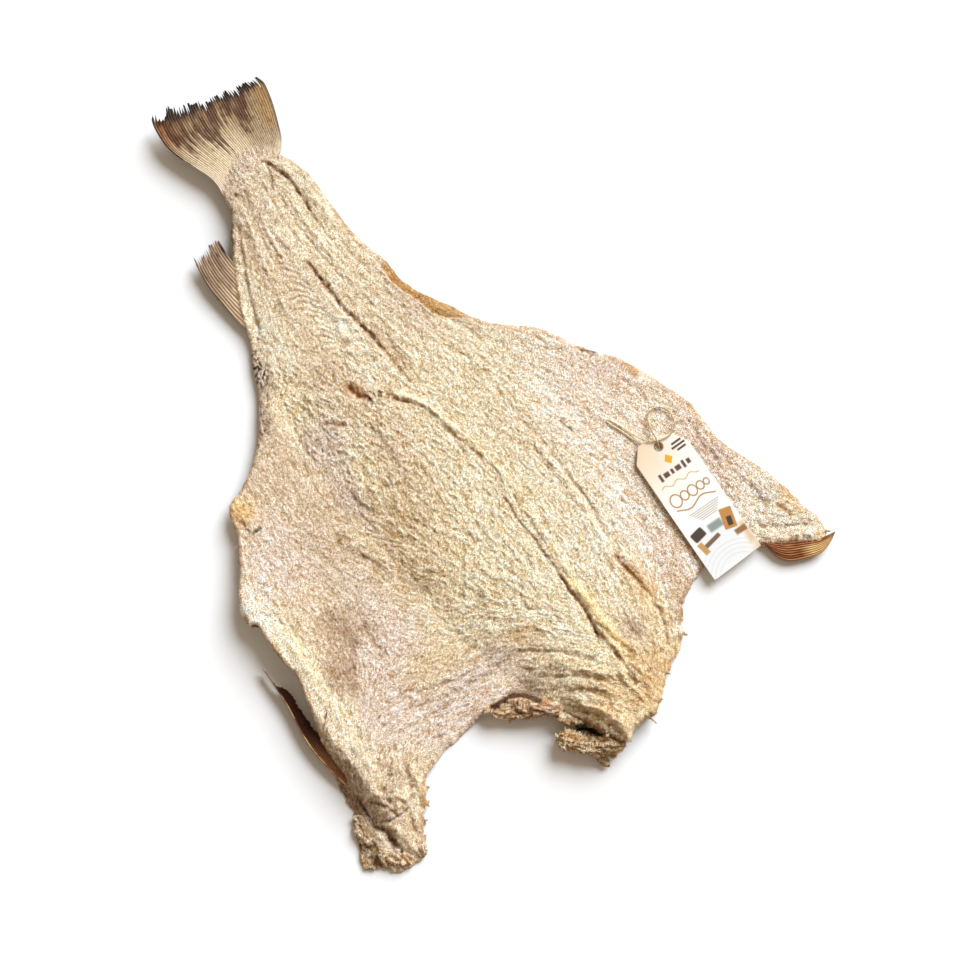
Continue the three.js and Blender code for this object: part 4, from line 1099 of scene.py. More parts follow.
    ((168, 138, 108), 0.4, 1.1, [(-68, 256), (-78, 228), (-90, 198), (-101, 165), (-106, 140)]),
    # Painted shade along the neck's overhanging edge, and just inside it.
    ((104, 70, 42), 0.7, 2.4, [(-46, -322), (-32, -338), (-20, -356), (-12, -370)]),
    ((140, 100, 62), 0.5, 1.5, [(-58, -284), (-44, -298), (-30, -318), (-24, -332)]),
    # Painted shade in the folds and cracks of the wing tip.
    ((86, 50, 28), 0.9, 1.6, [(-253, -282), (-252, -300), (-252, -316), (-247, -330), (-243, -348),
        (-240, -362)]),
    ((120, 76, 40), 0.85, 1.3, [(-246, -296), (-238, -304), (-230, -316), (-229, -324)]),
    ((112, 74, 42), 0.8, 1.1, [(-248, -318), (-236, -322), (-222, -322), (-214, -320)]),
    ((158, 122, 88), 0.5, 2.6, [(-214, -318), (-208, -312), (-202, -296), (-196, -280)]),
    ((150, 108, 66), 0.5, 1.5, [(-216, -324), (-222, -338), (-220, -352)]),
    ((184, 132, 74), 0.7, 2.0, [(-186, -300), (-197, -314), (-204, -330), (-210, -340), (-218, -352)]),
]
GROUND_REACH, GROUND_WEIGHT = 500, 0.14  # a zone that reaches farther lies thinly under the others
FLESH_LEVEL = np.array([1.18, 1.24, 1.31])


def flesh_colours():
    total, weights = np.zeros(X.shape + (3,)), np.full(X.shape, 1e-9)
    for tint, x, y, reach_x, reach_y in ZONES:
        weight = bump_field(x, y, reach_x, reach_y) * (GROUND_WEIGHT if reach_x > GROUND_REACH else 1)
        total += weight[..., None] * TINTS[tint]
        weights += weight
    colour = total / weights[..., None]
    # Painted shading: this grain follows the fine relief, so the flesh is painted lighter where the relief
    # rises and darker where it sinks, over its own grain.
    grain = 0.9 * threads + 0.3 * short_fibres + 0.15 * ropes + 0.5 * granules
    strength = (0.55 + 0.45 * calm)[..., None]
    shift = np.clip(grain, -2.4, 1.8)[..., None] * np.array([0.10, 0.135, 0.21]) * strength
    grain_and_crease_shading = np.exp(shift)
    # Painted shade in the sunken creases and cracks.
    painted_crease_shading = (0.6 * creases + 0.7 * cracks * ease(-1.2, 0.8, patches + 0.5 * lumps))[..., None] * strength
    grain_and_crease_shading *= np.exp(0.09 - painted_crease_shading * np.array([0.16, 0.26, 0.43]))
    colour = FLESH_LEVEL * colour * grain_and_crease_shading
    furrows = hump(strands, 0.22) * ease(-0.4, 1.2, patches) * calm
    # Painted shade in the pits, where the relief sinks deepest.
    pit_shade = ease(1.1, 2.3, -(ropes + 0.6 * granules))
    dark = np.clip(0.5 * furrows + 0.75 * pit_shade * calm, 0, 1)[..., None]
    colour = colour * (1 - dark * np.array([0.20, 0.33, 0.53]))
    colour = toned(colour, np.clip(patches, -2, 2), (0.012, 0.02, 0.032))
    mottled = ease(90, 120, X) * ease(0.2, 1.6, lumps + 0.6 * ropes)
    colour = colour * (1 - 0.10 * mottled[..., None] * np.array([0.45, 0.85, 1.0]))
    veins = sum(hump(noise(X, Y, cell, seed), 0.09) for cell, seed in ((7, 71), (4, 72)))
    veins = ease(90, 120, X) * veins
    colour = toned(colour, -np.clip(veins, 0, 1.2), (0.10, 0.20, 0.28))
    # The ladder is painted lighter on its ridges and darker in its troughs, as painted shading.
    return toned(colour, ladder, (0.08, 0.11, 0.15)), grain_and_crease_shading


def lay_stains_and_painted_shading(colour):
    for tint, strength, width, points in STAINS_AND_PAINTED_SHADING:
        distance, along = line_field(points, 2.6 * width + 2)
        ragged = distance + 0.35 * width * noise(X, Y, 4.0, 41) + 0.2 * width * granules
        share = strength * hump(np.maximum(ragged, 0), width)
        if len(points) > 2:
            share *= taper(along, 0.08)
        share *= np.clip(0.85 + 0.15 * np.clip(short_fibres, -1, 1) + 0.35 * (uneven - 0.85), 0, 1.1)
        near = distance < 2.6 * width + 2
        colour[near] = mix(colour[near], linear(tint) * (0.85 + 0.15 * colour[near] / 0.6), share[near, None])
    return colour


def right_strip(colour):
    """The bare orange strip along the right edge, with its torn pale inner line."""
    inner = through([
        [140, 28], [125, 30], [112, 34], [100, 40], [90, 44], [80, 47], [72, 52], [65, 60], [58, 72],
    ])
    across = X - inner(Y) + 1.2 * noise(X, Y, 5, 51)
    within = ease(150, 136, Y) * ease(54, 64, Y)
    strip = ease(-0.6, 0.8, across) * within
    amber = linear([190, 140, 74]) * grain_and_crease_shading
    pale = linear([214, 178, 118]) * grain_and_crease_shading
    blend = np.clip(across / 16 + 0.25 * strands, 0, 1)[..., None]
    colour = mix(colour, mix(amber, pale, blend * 0.6), (strip * 0.9)[..., None])
    line = hump(across + 1.6, 1.3) * within
    return over(colour, (246, 232, 204), 0.5 * line * uneven), strip, line


def edge_tints(colour):
    """A browner rim, the fin's rays at the tail root, dark skin along the left edge, and a dark nick."""
    dark_left = ease(142, 128, Y) * ease(30, 60, Y) * (X < 0)
    patchy = noise(X, Y, 16, 61) + 0.7 * noise(X, Y, 6, 62)
    near_edge = lambda reach: hump(np.maximum(inset, 0), reach)
    rim_share = near_edge(2.4 + 1.4 * np.clip(patchy, -1, 1)) * ease(-0.9, 0.9, patchy)
    colour = over(colour, (188, 138, 84), np.clip(0.75 * rim_share, 0, 1))
    at_fin = at_root * ease(24, 3, inset)
    rays = linear([208, 188, 162]) * (1 + 0.12 * root_rays)[..., None] * grain_and_crease_shading ** 0.7
    colour = mix(colour, rays, (0.6 * at_fin)[..., None])
    skin = dark_left * near_edge(9) * ease(-0.9, 0.6, ropes + 0.7 * strands)
    colour = over(colour, (84, 62, 48), 0.38 * skin)
    flecks = dark_left * near_edge(13) * ease(0.2, 1.1, threads + 0.6 * granules)
    colour = over(colour, (232, 216, 196), 0.6 * flecks)
    flecks = dark_left * near_edge(11) * ease(-0.6, -1.5, threads + 0.6 * granules)
    colour = over(colour, (40, 26, 20), 0.8 * flecks)
    mottle = noise(X, Y, 3.2, 65) + 0.6 * noise(X, Y, 1.8, 66)
    patch = np.clip(1.6 * bump_field(-127, 117, 8, 20), 0, 1)
    colour = over(colour, (234, 220, 202), 0.8 * patch * ease(0.0, 0.5, mottle))
    colour = over(colour, (26, 17, 15), 0.95 * patch * ease(0.0, -0.4, mottle))
    nick = near_edge(2.6) * bump_field(-80, 245, 12, 20)
    return over(colour, (60, 42, 34), np.clip(nick, 0, 1))


paint, grain_and_crease_shading = flesh_colours()
paint, strip, strip_line = right_strip(lay_stains_and_painted_shading(paint))
paint = edge_tints(paint)
top -= 1.5 * strip * calm
top += 0.9 * strip_line


# The body: flesh on top, a wall round it, and the skin below
FLESH = flesh_material()
SKIN = skin_material()
FIN = grained_material(
    "dried_fin", specular=0.22, grain={"per_metre": 700, "detail": 4, "rough": 0.65}, tone=(0.78, 1.15),
    amount=0.7, bump=(0.5, 0.8), roughness=(0.42, 0.7))
FLESH_BANDS = [-400, -150, 10, 400]
WALL_LEVELS = 7
WALL_BULGE = 0.10  # as a share of the wall's height
WALL_TUCK, TORN_HOLLOW = 1.4, 9  # millimetres inwards at the foot, and at half height where the neck is torn
SKIN_STEP = 3
SKIN_TUCK = 1.4  # the same as the wall's, where the skin meets it
CALMER_SLOPES = 0.80  # how much of the broad slopes the shading leaves out
LEAST_INSET = 0.2  # grid points nearer to the outline than this are left out

slope_y, slope_x = np.gradient(blur(inset, 3), STEP)
outward = np.stack([-slope_x, -slope_y]) / np.maximum(np.hypot(slope_x, slope_y), 1e-6)
cells, on_rim = cells_where(inset > LEAST_INSET)
place_x = np.where(on_rim, edge_place[0], X)
place_y = np.where(on_rim, edge_place[1], Y)
height = np.where(on_rim, np.minimum(top, under + RIM_SHARE * depth), top)
fall_y, fall_x = np.gradient(top - CALMER_SLOPES * spread(blur(top[::5, ::5], 6), 5), STEP)
normals = unit_length(np.stack([-fall_x, -fall_y, np.ones(X.shape)], axis=-1))
rim_normals = unit_length(np.stack([outward[0], outward[1], np.full(X.shape, 0.7)], axis=-1))
normals[on_rim] = rim_normals[on_rim]


def make_flesh():
    for band, (low, high) in enumerate(zip(FLESH_BANDS, FLESH_BANDS[1:])):
        rows = (ys[:-1] >= low) & (ys[:-1] < high)
        kept, faces = np.unique(quads(cells & rows[:, None]), return_inverse=True)
        points, colours, out = (field.reshape(-1, 3)[kept] for field in (
            np.stack([place_x, place_y, height], axis=-1), paint, normals))
        piece(f"flesh_{band}", points, faces.reshape(-1, 4), colours, FLESH, "cod", out)


def skin_colours(x, y):
    off = x - loin_middle(y)
    far = np.abs(off)
    back = ease(150, 40, far)[:, None]
    olive, belly = linear([112, 98, 74]), linear([206, 192, 168])
    colour = mix(belly, olive, back)
    spots = ease(0.15, 0.6, noise(x, y, 9, 61) + 0.5 * noise(x, y, 4, 62)) * ease(130, 60, far)
    colour = over(colour, (66, 52, 36), 0.6 * spots)
    line = hump(far - 46 - 6 * np.sin(y / 60), 2.0)
    colour = over(colour, (196, 184, 156), 0.7 * line)
    return colour * np.exp(0.12 * noise(x, y, 26, 63))[:, None]


def make_wall():
    """The edge of the fish, from the rim of the flesh down to the skin."""
    kept, pairs = np.unique(open_edges(cells), return_inverse=True)
    pairs = pairs.reshape(-1, 2)
    pick = lambda field: field.ravel()[kept]
    x, y, z = pick(place_x), pick(place_y), pick(height)
    low = pick(under)
    out_x, out_y = pick(outward[0]), pick(outward[1])
    tall = z - low
    torn = ease(-262, -285, y) * ease(110, 60, x) * ease(-130, -105, x)
    points, tints = [], []
    skin = skin_colours(x, y)
    flesh = paint.reshape(-1, 3)[kept]
    for level in range(WALL_LEVELS + 1):
        t = level / WALL_LEVELS
        rough = 0.5 * noise(x + 3 * z * t, y, 4, 70 + level) * math.sin(math.pi * min(t * 1.2, 1))
        bulge = tall * WALL_BULGE * math.sin(math.pi * t) - WALL_TUCK * t ** 3 + rough
        bulge -= torn * TORN_HOLLOW * math.sin(math.pi * t) ** 0.7
        if level == 0:
            bulge = 0
        zz = z - tall * (t ** 0.9)
        points.append(np.stack([x + bulge * out_x, y + bulge * out_y, zz], 1))
        cut = mix(flesh * 0.86, linear([172, 134, 96]), 0.35 * min(3 * t, 1))
        shade = mix(cut, skin, ease(0.35, 0.85, t + 0.25 * noise(x, y, 6, 77))[:, None])
        # Painted shade: where the neck is torn, the wall below its top edge is painted dark brown, under the
        # overhang.
        tints.append(mix(shade, linear([96, 62, 38]), (torn * ease(0, 0.3, t))[:, None] * 0.9))
    count = len(kept)
    faces = []
    for level in range(WALL_LEVELS):
        a, b = pairs[:, 0] + level * count, pairs[:, 1] + level * count
        faces.append(np.stack([b, a, a + count, b + count], 1))
    piece("flesh_rim", np.vstack(points), np.vstack(faces), np.vstack(tints), FLESH, "cod")


def make_skin():
    """The skin side, on a coarser grid."""
    part = (slice(None, None, SKIN_STEP), slice(None, None, SKIN_STEP))
    sub_cells, sub_rim = cells_where(inset[part] > LEAST_INSET)
    x = np.where(sub_rim, edge_place[0][part] - SKIN_TUCK * outward[0][part], X[part])
    y = np.where(sub_rim, edge_place[1][part] - SKIN_TUCK * outward[1][part], Y[part])
    kept, faces = np.unique(quads(sub_cells)[:, [0, 3, 2, 1]], return_inverse=True)
    points = np.stack([x, y, under[part]], axis=-1).reshape(-1, 3)[kept]
    colours = skin_colours(points[:, 0], points[:, 1])
    piece("skin_side", points, faces.reshape(-1, 4), colours, SKIN, "cod")


make_flesh()
make_wall()
make_skin()


# Fins
def spline(points, t):
    """Places along a smooth line at shares t of its length."""
    line = smooth_line(points, 0.5)
    return places_on(line, np.linspace(0, 1, len(line)), t)


SPIKE_LENGTH = 60  # of a ray that is as long again as its fin


def make_fin(name, left, right, rays, rows, per_ray, spikes, z_of, thick, ridge, tint_of, seed,
             sharp=0.8, ragged=0.0, tip=lambda t: 0 * t):
    """A dried fin of raised rays between two side lines, from its root to its ragged tip."""
    rng = np.random.default_rng(seed)
    columns = rays * per_ray
    t = np.arange(columns + 1) / columns
    ray = np.minimum((t * rays).astype(int), rays - 1)
    in_ray = t * rays - ray
    every_third = np.arange(0, rays + 3, 3)
    bundles = np.interp(np.arange(rays), every_third, rng.uniform(-1, 1, len(every_third)))
    reach = 1 + spikes * (0.5 * bundles + 0.5 * rng.uniform(-1, 1, rays))[ray]
    point = np.clip(1 - np.abs(2 * in_ray - 1), 0, 1)
    length = reach - spikes * 2.2 * (1 - point) ** 0.8 * (rng.uniform(0.1, 1, rays) ** 1.5)[ray]
    out = np.linspace(0, 1, rows + 1)[:, None] * length[None, :]
    pull = np.clip(out, 0, 1)
    a, b = (spline(side, pull.ravel()).reshape(rows + 1, columns + 1, -1) for side in (left, right))
    flat = mix(a, b, t[None, :, None])
    x, y = flat[..., 0], flat[..., 1]
    way = np.gradient(flat[..., :2], axis=0)
    way /= np.maximum(np.linalg.norm(way, axis=-1), 1e-6)[..., None]
    beyond = np.maximum(out - 1, 0) * SPIKE_LENGTH
    x, y = x + way[..., 0] * beyond, y + way[..., 1] * beyond + tip(t)[None, :] * pull ** 2
    ragged_here = ragged * ease(0.6, 1, t)[None, :] * noise(x, y, 2.2, seed + 2)
    x = x + ragged_here
    crest = (np.sin(np.pi * in_ray) ** sharp)[None, :]
    half = mix(thick[0], thick[1], pull) / 2
    jitter = 0.5 * noise(x, y, 9, seed) + 0.2 * noise(x, y, 3, seed + 1)
    share = np.broadcast_to(t, pull.shape)
    middle = z_of(x, y, pull, share) + jitter * pull
    levels = (middle + half + ridge * (crest - 0.5), middle - half)
    points = np.vstack([np.stack([x, y, level], -1).reshape(-1, 3) for level in levels])
    crest, chance_of_ray = (np.broadcast_to(row, pull.shape) for row in (crest, rng.uniform(0, 1, rays)[ray]))
    shade = tint_of(x, y, pull, share, crest, chance_of_ray).reshape(-1, 3)
    n, w = (rows + 1) * (columns + 1), columns + 1
    i, j = np.meshgrid(np.arange(rows), np.arange(columns), indexing="ij")
    k = (i * w + j).ravel()
    faces = [np.stack([k, k + 1, k + w + 1, k + w], 1), np.stack([k, k + w, k + w + 1, k + 1], 1) + n]
    ring = np.concatenate([np.arange(w), np.arange(1, rows + 1) * w + columns,
                           rows * w + np.arange(columns - 1, -1, -1), np.arange(rows - 1, 0, -1) * w])
    after = np.roll(ring, -1)
    faces.append(np.stack([after, ring, ring + n, after + n], 1))
    faces = np.vstack(faces)
    a, b, c = (points[faces[:len(k), m]] for m in (0, 1, 3))
    if np.cross(b - a, c - a)[:, 2].sum() < 0:
        faces = faces[:, ::-1]
    # The lower side of the fin gets the upper side's tints a fifth darker, as painted shade.
    piece(name, points, faces, np.vstack([shade, shade * 0.8]), FIN, "cod")


dark_from = through([
    [0, 0.96], [0.05, 0.82], [0.10, 0.66], [0.20, 0.64], [0.30, 0.60], [0.38, 0.52], [0.43, 0.47],
    [0.48, 0.60], [0.53, 0.76], [0.60, 0.80], [0.65, 0.60], [0.72, 0.54], [0.79, 0.72], [0.85, 0.88],
    [1, 0.95],
])


def tail_tint(x, y, out, t, crest, chance_of_ray):
    fine_spots = noise(x, y, 2.2, 83) + 0.5 * noise(x, y, 1.2, 84)
    blots = noise(x, y, 9, 85) + 0.6 * noise(x, y, 4, 86)
    base = over(linear([222, 202, 168]), (168, 140, 102), ease(0.25, 0.75, out))
    right_half = ease(0.5, 0.75, t) * ease(0.05, 0.3, out)
    base = over(base, (150, 124, 92), 0.7 * right_half)
    lobe = ease(0.80, 0.92, t) * ease(0.3, 0.5, out)
    base = over(base, (168, 128, 76), 0.7 * lobe)
    left_lobe = ease(0.20, 0.06, t) * ease(0.58, 0.74, out)
    base = over(base, (150, 92, 42), 0.8 * left_lobe)
    pale_ray = np.clip(crest, 0, 1) * ease(0.9, 0.55, out) * (0.8 - 0.65 * ease(0.45, 0.7, t))
    pale_ray = pale_ray * ease(0.15, 0.6, chance_of_ray)
    base = over(base, (244, 228, 194), np.clip(0.85 * pale_ray, 0, 1))
    valleys = np.clip(1 - crest, 0, 1) * (0.25 + 0.6 * chance_of_ray) * (1 - 0.5 * right_half)
    base = toned(base, -valleys, (0.30, 0.36, 0.46))
    base = toned(base, 0.34 * fine_spots + 0.14 * blots, (1.0, 1.15, 1.3))
    speck = ease(0.15, 0.8, fine_spots + 0.5 * blots) * ease(0.10, 0.3, out)
    base = over(base, (92, 68, 48), speck * (0.35 + 0.5 * ease(0.4, 0.8, t)))
    streaks = noise(t * 34, out * 4, 1.0, 89) + 0.6 * noise(t * 70, out * 9, 1.0, 90)
    edge = dark_from(t) + 0.10 * (chance_of_ray - 0.5)
    dark = ease(edge - 0.10, edge + 0.10, out + 0.07 * blots + 0.05 * fine_spots + 0.13 * streaks)
    dark = dark * np.clip(0.9 + 0.3 * blots + 0.4 * streaks, 0.25, 1)
    base = over(base, (78, 44, 24), np.clip(0.92 * dark, 0, 1))
    tips = ease(0.87, 0.94, out + 0.04 * blots) * ease(0.02, 0.06, t) * np.clip(0.85 + 0.3 * fine_spots, 0, 1)
    base = over(base, (24, 14, 10), 0.95 * tips)
    thin = np.maximum(ease(0.020, 0.008, t), ease(0.984, 0.996, t))
    base = over(base, (48, 30, 20), 0.95 * thin)
    root = ease(0.36, 0.10, out + 0.08 * blots - 0.25 * ease(0.12, 0.0, t))
    return mix(base, linear([216, 198, 174]) * np.exp(0.1 * fine_spots)[..., None], (0.9 * root)[..., None])


def belly_tint(x, y, out, t, crest, chance_of_ray):
    base = over(linear([184, 156, 124]), (142, 116, 90), ease(0.1, 0.7, out))
    rays = 0.5 * (crest - 0.5) + 0.5 * (chance_of_ray - 0.5) + 0.3 * noise(t * 60, out * 9, 1.0, 87)
    base = toned(base, rays, (0.8, 0.95, 1.1))
    dashes = ease(0.35, 0.75, noise(t * 26, out * 5, 1.0, 88)) * ease(0.1, 0.3, out)
    base = over(base, (60, 42, 30), 0.75 * dashes)
    rim = np.maximum(ease(0.955, 0.995, out), 0.8 * ease(0.04, 0.01, t) * ease(0.2, 0.3, out))
    base = over(base, (70, 50, 36), 0.8 * rim)
    blot = np.exp(-((x + 95) / 2.4) ** 2 - ((y - 235) / 7) ** 2)
    return over(base, (24, 16, 16), np.clip(1.1 * blot, 0, 0.95))


def left_breast_tint(x, y, out, t, crest, chance_of_ray):
    streaks = noise(t * 26, out * 40, 1.0, 91) + 0.5 * noise(x, y, 2.0, 92)
    base = over(linear([118, 76, 44]), (52, 18, 6), ease(0.25, 0.55, out + 0.1 * streaks))
    base = toned(base, 0.4 * (crest - 0.4) + 0.55 * streaks, (1.0, 1.1, 1.2))
    rim = ease(0.20, 0.10, t + 0.05 * streaks)
    patchy = ease(-0.5, 0.7, noise(x, y, 9, 93) + 0.4 * streaks)
    rim_colour = over(linear([130, 82, 46]), (214, 174, 118), patchy)
    base = mix(base, rim_colour, (0.9 * rim)[..., None])
    base = over(base, (70, 44, 30), 0.85 * ease(0.05, 0.015, t))
    fray = ease(0.86, 0.97, t) * ease(-0.3, 0.4, streaks)
    base = over(base, (128, 96, 70), 0.6 * fray)
    end = linear([196, 160, 116]) * np.exp(0.25 * streaks)[..., None]
    return mix(base, end, ease(0.82, 0.93, out)[..., None])


def right_breast_tint(x, y, out, t, crest, chance_of_ray):
    streaks = np.clip(chance_of_ray + 0.4 * noise(t * 20, out * 9, 1.0, 95), 0, 1)
    base = over(linear([96, 46, 16]), (150, 100, 62), streaks)
    base = toned(base, 0.9 * (crest - 0.35), (1.0, 1.1, 1.2))
    lobe = ease(0.46, 0.62, out) * ease(0.30, 0.5, t)
    yellow = over(linear([184, 134, 70]), (226, 194, 134), np.clip(crest, 0, 1))
    base = mix(base, yellow, (0.92 * lobe)[..., None])
    ring = hump(t - 0.97, 0.05) * ease(0.05, 0.2, out)
    base = over(base, (150, 92, 44), 0.7 * ring)
    tip = ease(0.86, 0.94, out)
    return over(base, (170, 140, 110), 0.8 * tip)


make_fin(
    "tail_fin",
    left=[(-67, 266), (-68, 284), (-68, 292), (-70, 302), (-76, 315), (-81, 325), (-87, 338), (-91, 351),
          (-92, 365), (-91, 378), (-87, 388)],
    right=[(-6, 286), (3, 291), (10, 302), (15, 317), (19, 331), (22, 346), (23, 358), (20, 366)],
    rays=46, rows=80, per_ray=6,
    tip=lambda t: -16 * t * (1 - t) - 7 * hump(t - 0.085, 0.04) + 2 * hump(t - 0.16, 0.03),
    spikes=0.062, z_of=lambda x, y, out, t: underside(x, y) + 2.6 + 1.0 * np.sin(out * 3 + t * 5) * out,
    thick=(2.6, 0.7), ridge=0.45, tint_of=tail_tint, seed=81, sharp=2.6)
make_fin(
    "belly_fin",
    left=[(-114, 150), (-119, 168), (-123, 190), (-126, 212), (-125, 242)],
    right=[(-86, 200), (-92, 216), (-94, 230), (-94, 247)],
    rays=13, rows=44, per_ray=8, spikes=0.07,
    z_of=lambda x, y, out, t: underside(np.maximum(x, left_edge(y)), y) + 3.2 - 1.5 * (1 - t) * out,
    thick=(2.6, 0.8), ridge=0.7, tint_of=belly_tint, seed=86)
make_fin(
    "left_breast_fin",
    left=[(-252, -292), (-255, -278), (-261, -257), (-265, -239), (-267.5, -221), (-267.5, -204),
          (-266.5, -190), (-266, -176), (-266.5, -163), (-267.5, -149), (-268.5, -134)],
    right=[(-240, -288), (-246, -270), (-250, -249), (-251, -235), (-253, -222), (-255, -209),
           (-256, -196), (-257, -184), (-257, -171), (-260, -162), (-265, -157), (-267.5, -137)],
    rays=7, rows=110, per_ray=7, spikes=0.02,
    z_of=lambda x, y, out, t: (mix(9, 11, out) + 8 * t * (1 - out)
                               + 2.4 * np.cos(t * np.pi) * ease(0.1, 0.4, out)),
    thick=(3.4, 0.9), ridge=1.1, tint_of=left_breast_tint, seed=90, ragged=1.3)
make_fin(
    "right_breast_fin",
    left=[(204, -276), (222, -286), (240, -295), (256, -303), (269, -305)],
    right=[(206, -284), (209, -296), (216, -306), (230, -312), (248, -315.5), (261, -311), (269, -305.5)],
    rays=9, rows=60, per_ray=8, spikes=0.0,
    z_of=lambda x, y, out, t: underside(x, y) + mix(4.2, 3.0, t) + 1.5 * np.sin(np.pi * t),
    thick=(4.0, 0.9), ridge=1.3, tint_of=right_breast_tint, seed=94)


# Torn flesh at the neck, the bay and the wing tip
def torn_piece(name, rolls, plates, voxel, rough, tint_of, grain_angle):
    """Rolls and plates of torn flesh, joined into one rough closed body."""
    bm = bmesh.new()
    for start, end, width, deep in rolls:
        start, end = Vector(start), Vector(end)
        axis = end - start
        turn = axis.to_track_quat("X", "Z").to_matrix().to_4x4()
        size = Matrix.Diagonal((axis.length / 2, width / 2, deep / 2, 1))
        place = Matrix.Translation((start + end) / 2) @ turn @ size
        bmesh.ops.create_icosphere(bm, subdivisions=3, radius=1, matrix=place)
    for outline_points, low, high in plates:
        ring = [bm.verts.new((x, y, low)) for x, y in outline_points]
        face = bm.faces.new(ring)
        raised = bmesh.ops.extrude_face_region(bm, geom=[face])["geom"]
        raised = [item for item in raised if isinstance(item, bmesh.types.BMVert)]
        bmesh.ops.translate(bm, vec=(0, 0, high - low), verts=raised)
    bmesh.ops.recalc_face_normals(bm, faces=bm.faces)
    mesh = bpy.data.meshes.new(name + "_rough")
    bm.to_mesh(mesh)
    bm.free()
    holder = bpy.data.objects.new(name + "_rough", mesh)
    scene.collection.objects.link(holder)
    remesh = holder.modifiers.new("remesh", "REMESH")
    remesh.mode = "VOXEL"
    remesh.voxel_size = voxel
    smooth = holder.modifiers.new("smooth", "SMOOTH")
    smooth.iterations = 2
    depsgraph = bpy.context.evaluated_depsgraph_get()
    made = holder.evaluated_get(depsgraph).to_mesh()
    count = len(made.vertices)
    points, out = np.empty(count * 3, np.float32), np.empty(count * 3, np.float32)
    made.vertices.foreach_get("co", points)
    made.vertices.foreach_get("normal", out)
    points, out = points.reshape(-1, 3).astype(float), out.reshape(-1, 3).astype(float)
    made.calc_loop_triangles()
    faces = np.empty(len(made.loop_triangles) * 3, np.int32)
    made.loop_triangles.foreach_get("vertices", faces)
    bpy.data.objects.remove(holder)
    c, s = math.cos(math.radians(grain_angle)), math.sin(math.radians(grain_angle))
    along, across = points[:, 0] * c + points[:, 1] * s, -points[:, 0] * s + points[:, 1] * c
    drawn = [Vector(p) for p in np.stack([along / 11, across / 4, points[:, 2] / 4], 1)]
    shift = np.array([blender_noise.fractal(p, 0.9, 2.1, 4) for p in drawn])
    shaded_slit = np.array([blender_noise.noise(p * 1.7 + Vector((9, 4, 2))) for p in drawn])
    points += out * (rough * (1.5 * shift - 1.1 * hump(shaded_slit, 0.10)))[:, None]
    points[:, 2] = np.maximum(points[:, 2], 0.2)
    piece(name, points, faces.reshape(-1, 3), tint_of(points, shift, shaded_slit), FLESH, "cod")


def near_line(points, line):
    best = np.full(len(points), np.inf)
    for (ax, ay), (bx, by) in zip(line, line[1:]):
        dx, dy = bx - ax, by - ay
        u = np.clip(((points[:, 0] - ax) * dx + (points[:, 1] - ay) * dy) / (dx * dx + dy * dy), 0, 1)
        best = np.minimum(best, np.hypot(points[:, 0] - ax - u * dx, points[:, 1] - ay - u * dy))
    return best


def torn_colour_with_shading(shift, shaded_slit, low, high, crack_shade, reach=0.12):
    """The tint of torn flesh by the height of its grain, as painted light where it rises and painted shade
    where it sinks, with painted shade in the cracks.
    """
    colour = over(linear(low), high, ease(-0.35, 0.25, shift))
    return over(colour, crack_shade, 0.7 * hump(shaded_slit, reach))


def stub_tint(points, shift, shaded_slit):
    colour = torn_colour_with_shading(shift, shaded_slit, (226, 184, 128), (255, 234, 196), (150, 98, 56))
    colour = over(colour, (206, 176, 122), 0.6 * ease(-366, -374, points[:, 1]))
    # Painted shade: the neck's cavity is painted nearly black.
    hole = ease(4.6, 2.4, near_line(points, [(-39, -338), (-31, -345), (-25, -354)]) + 1.5 * shift)
    colour = over(colour, (20, 12, 8), 0.97 * hole)
    # Painted shade: the lowest parts, near the floor, are painted darker.
    return over(colour, (110, 74, 44), 0.7 * ease(9, 2, points[:, 2]))


def bay_tint(points, shift, shaded_slit):
    colour = torn_colour_with_shading(shift, shaded_slit, (214, 170, 120), (253, 228, 194), (140, 86, 44))
    # Painted shade: dark brown along the overhanging edge of the bay.
    edge = near_line(points, [(-98, -281), (-81, -279), (-68, -284), (-58, -298)])
    colour = over(colour, (74, 40, 24), 0.9 * ease(4.2, 1.6, edge + 1.2 * shift))
    # Painted shade: the lowest parts, near the floor, are painted darker.
    return over(colour, (120, 80, 50), 0.7 * ease(9, 2, points[:, 2]))


def tip_tint(points, shift, shaded_slit):
    colour = torn_colour_with_shading(shift, shaded_slit, (208, 170, 122), (250, 230, 196), (112, 78, 50), 0.14)
    # Painted shade in a crack of the flap.
    dark = ease(4, 1, near_line(points, [(-276, -326), (-268, -332), (-262, -334)]))
    colour = over(colour, (88, 46, 30), 0.8 * dark)
    brown = np.exp(-((points[:, 0] + 267) / 6) ** 2 - ((points[:, 1] + 344) / 9) ** 2)
    return over(colour, (120, 92, 56), 0.8 * brown)


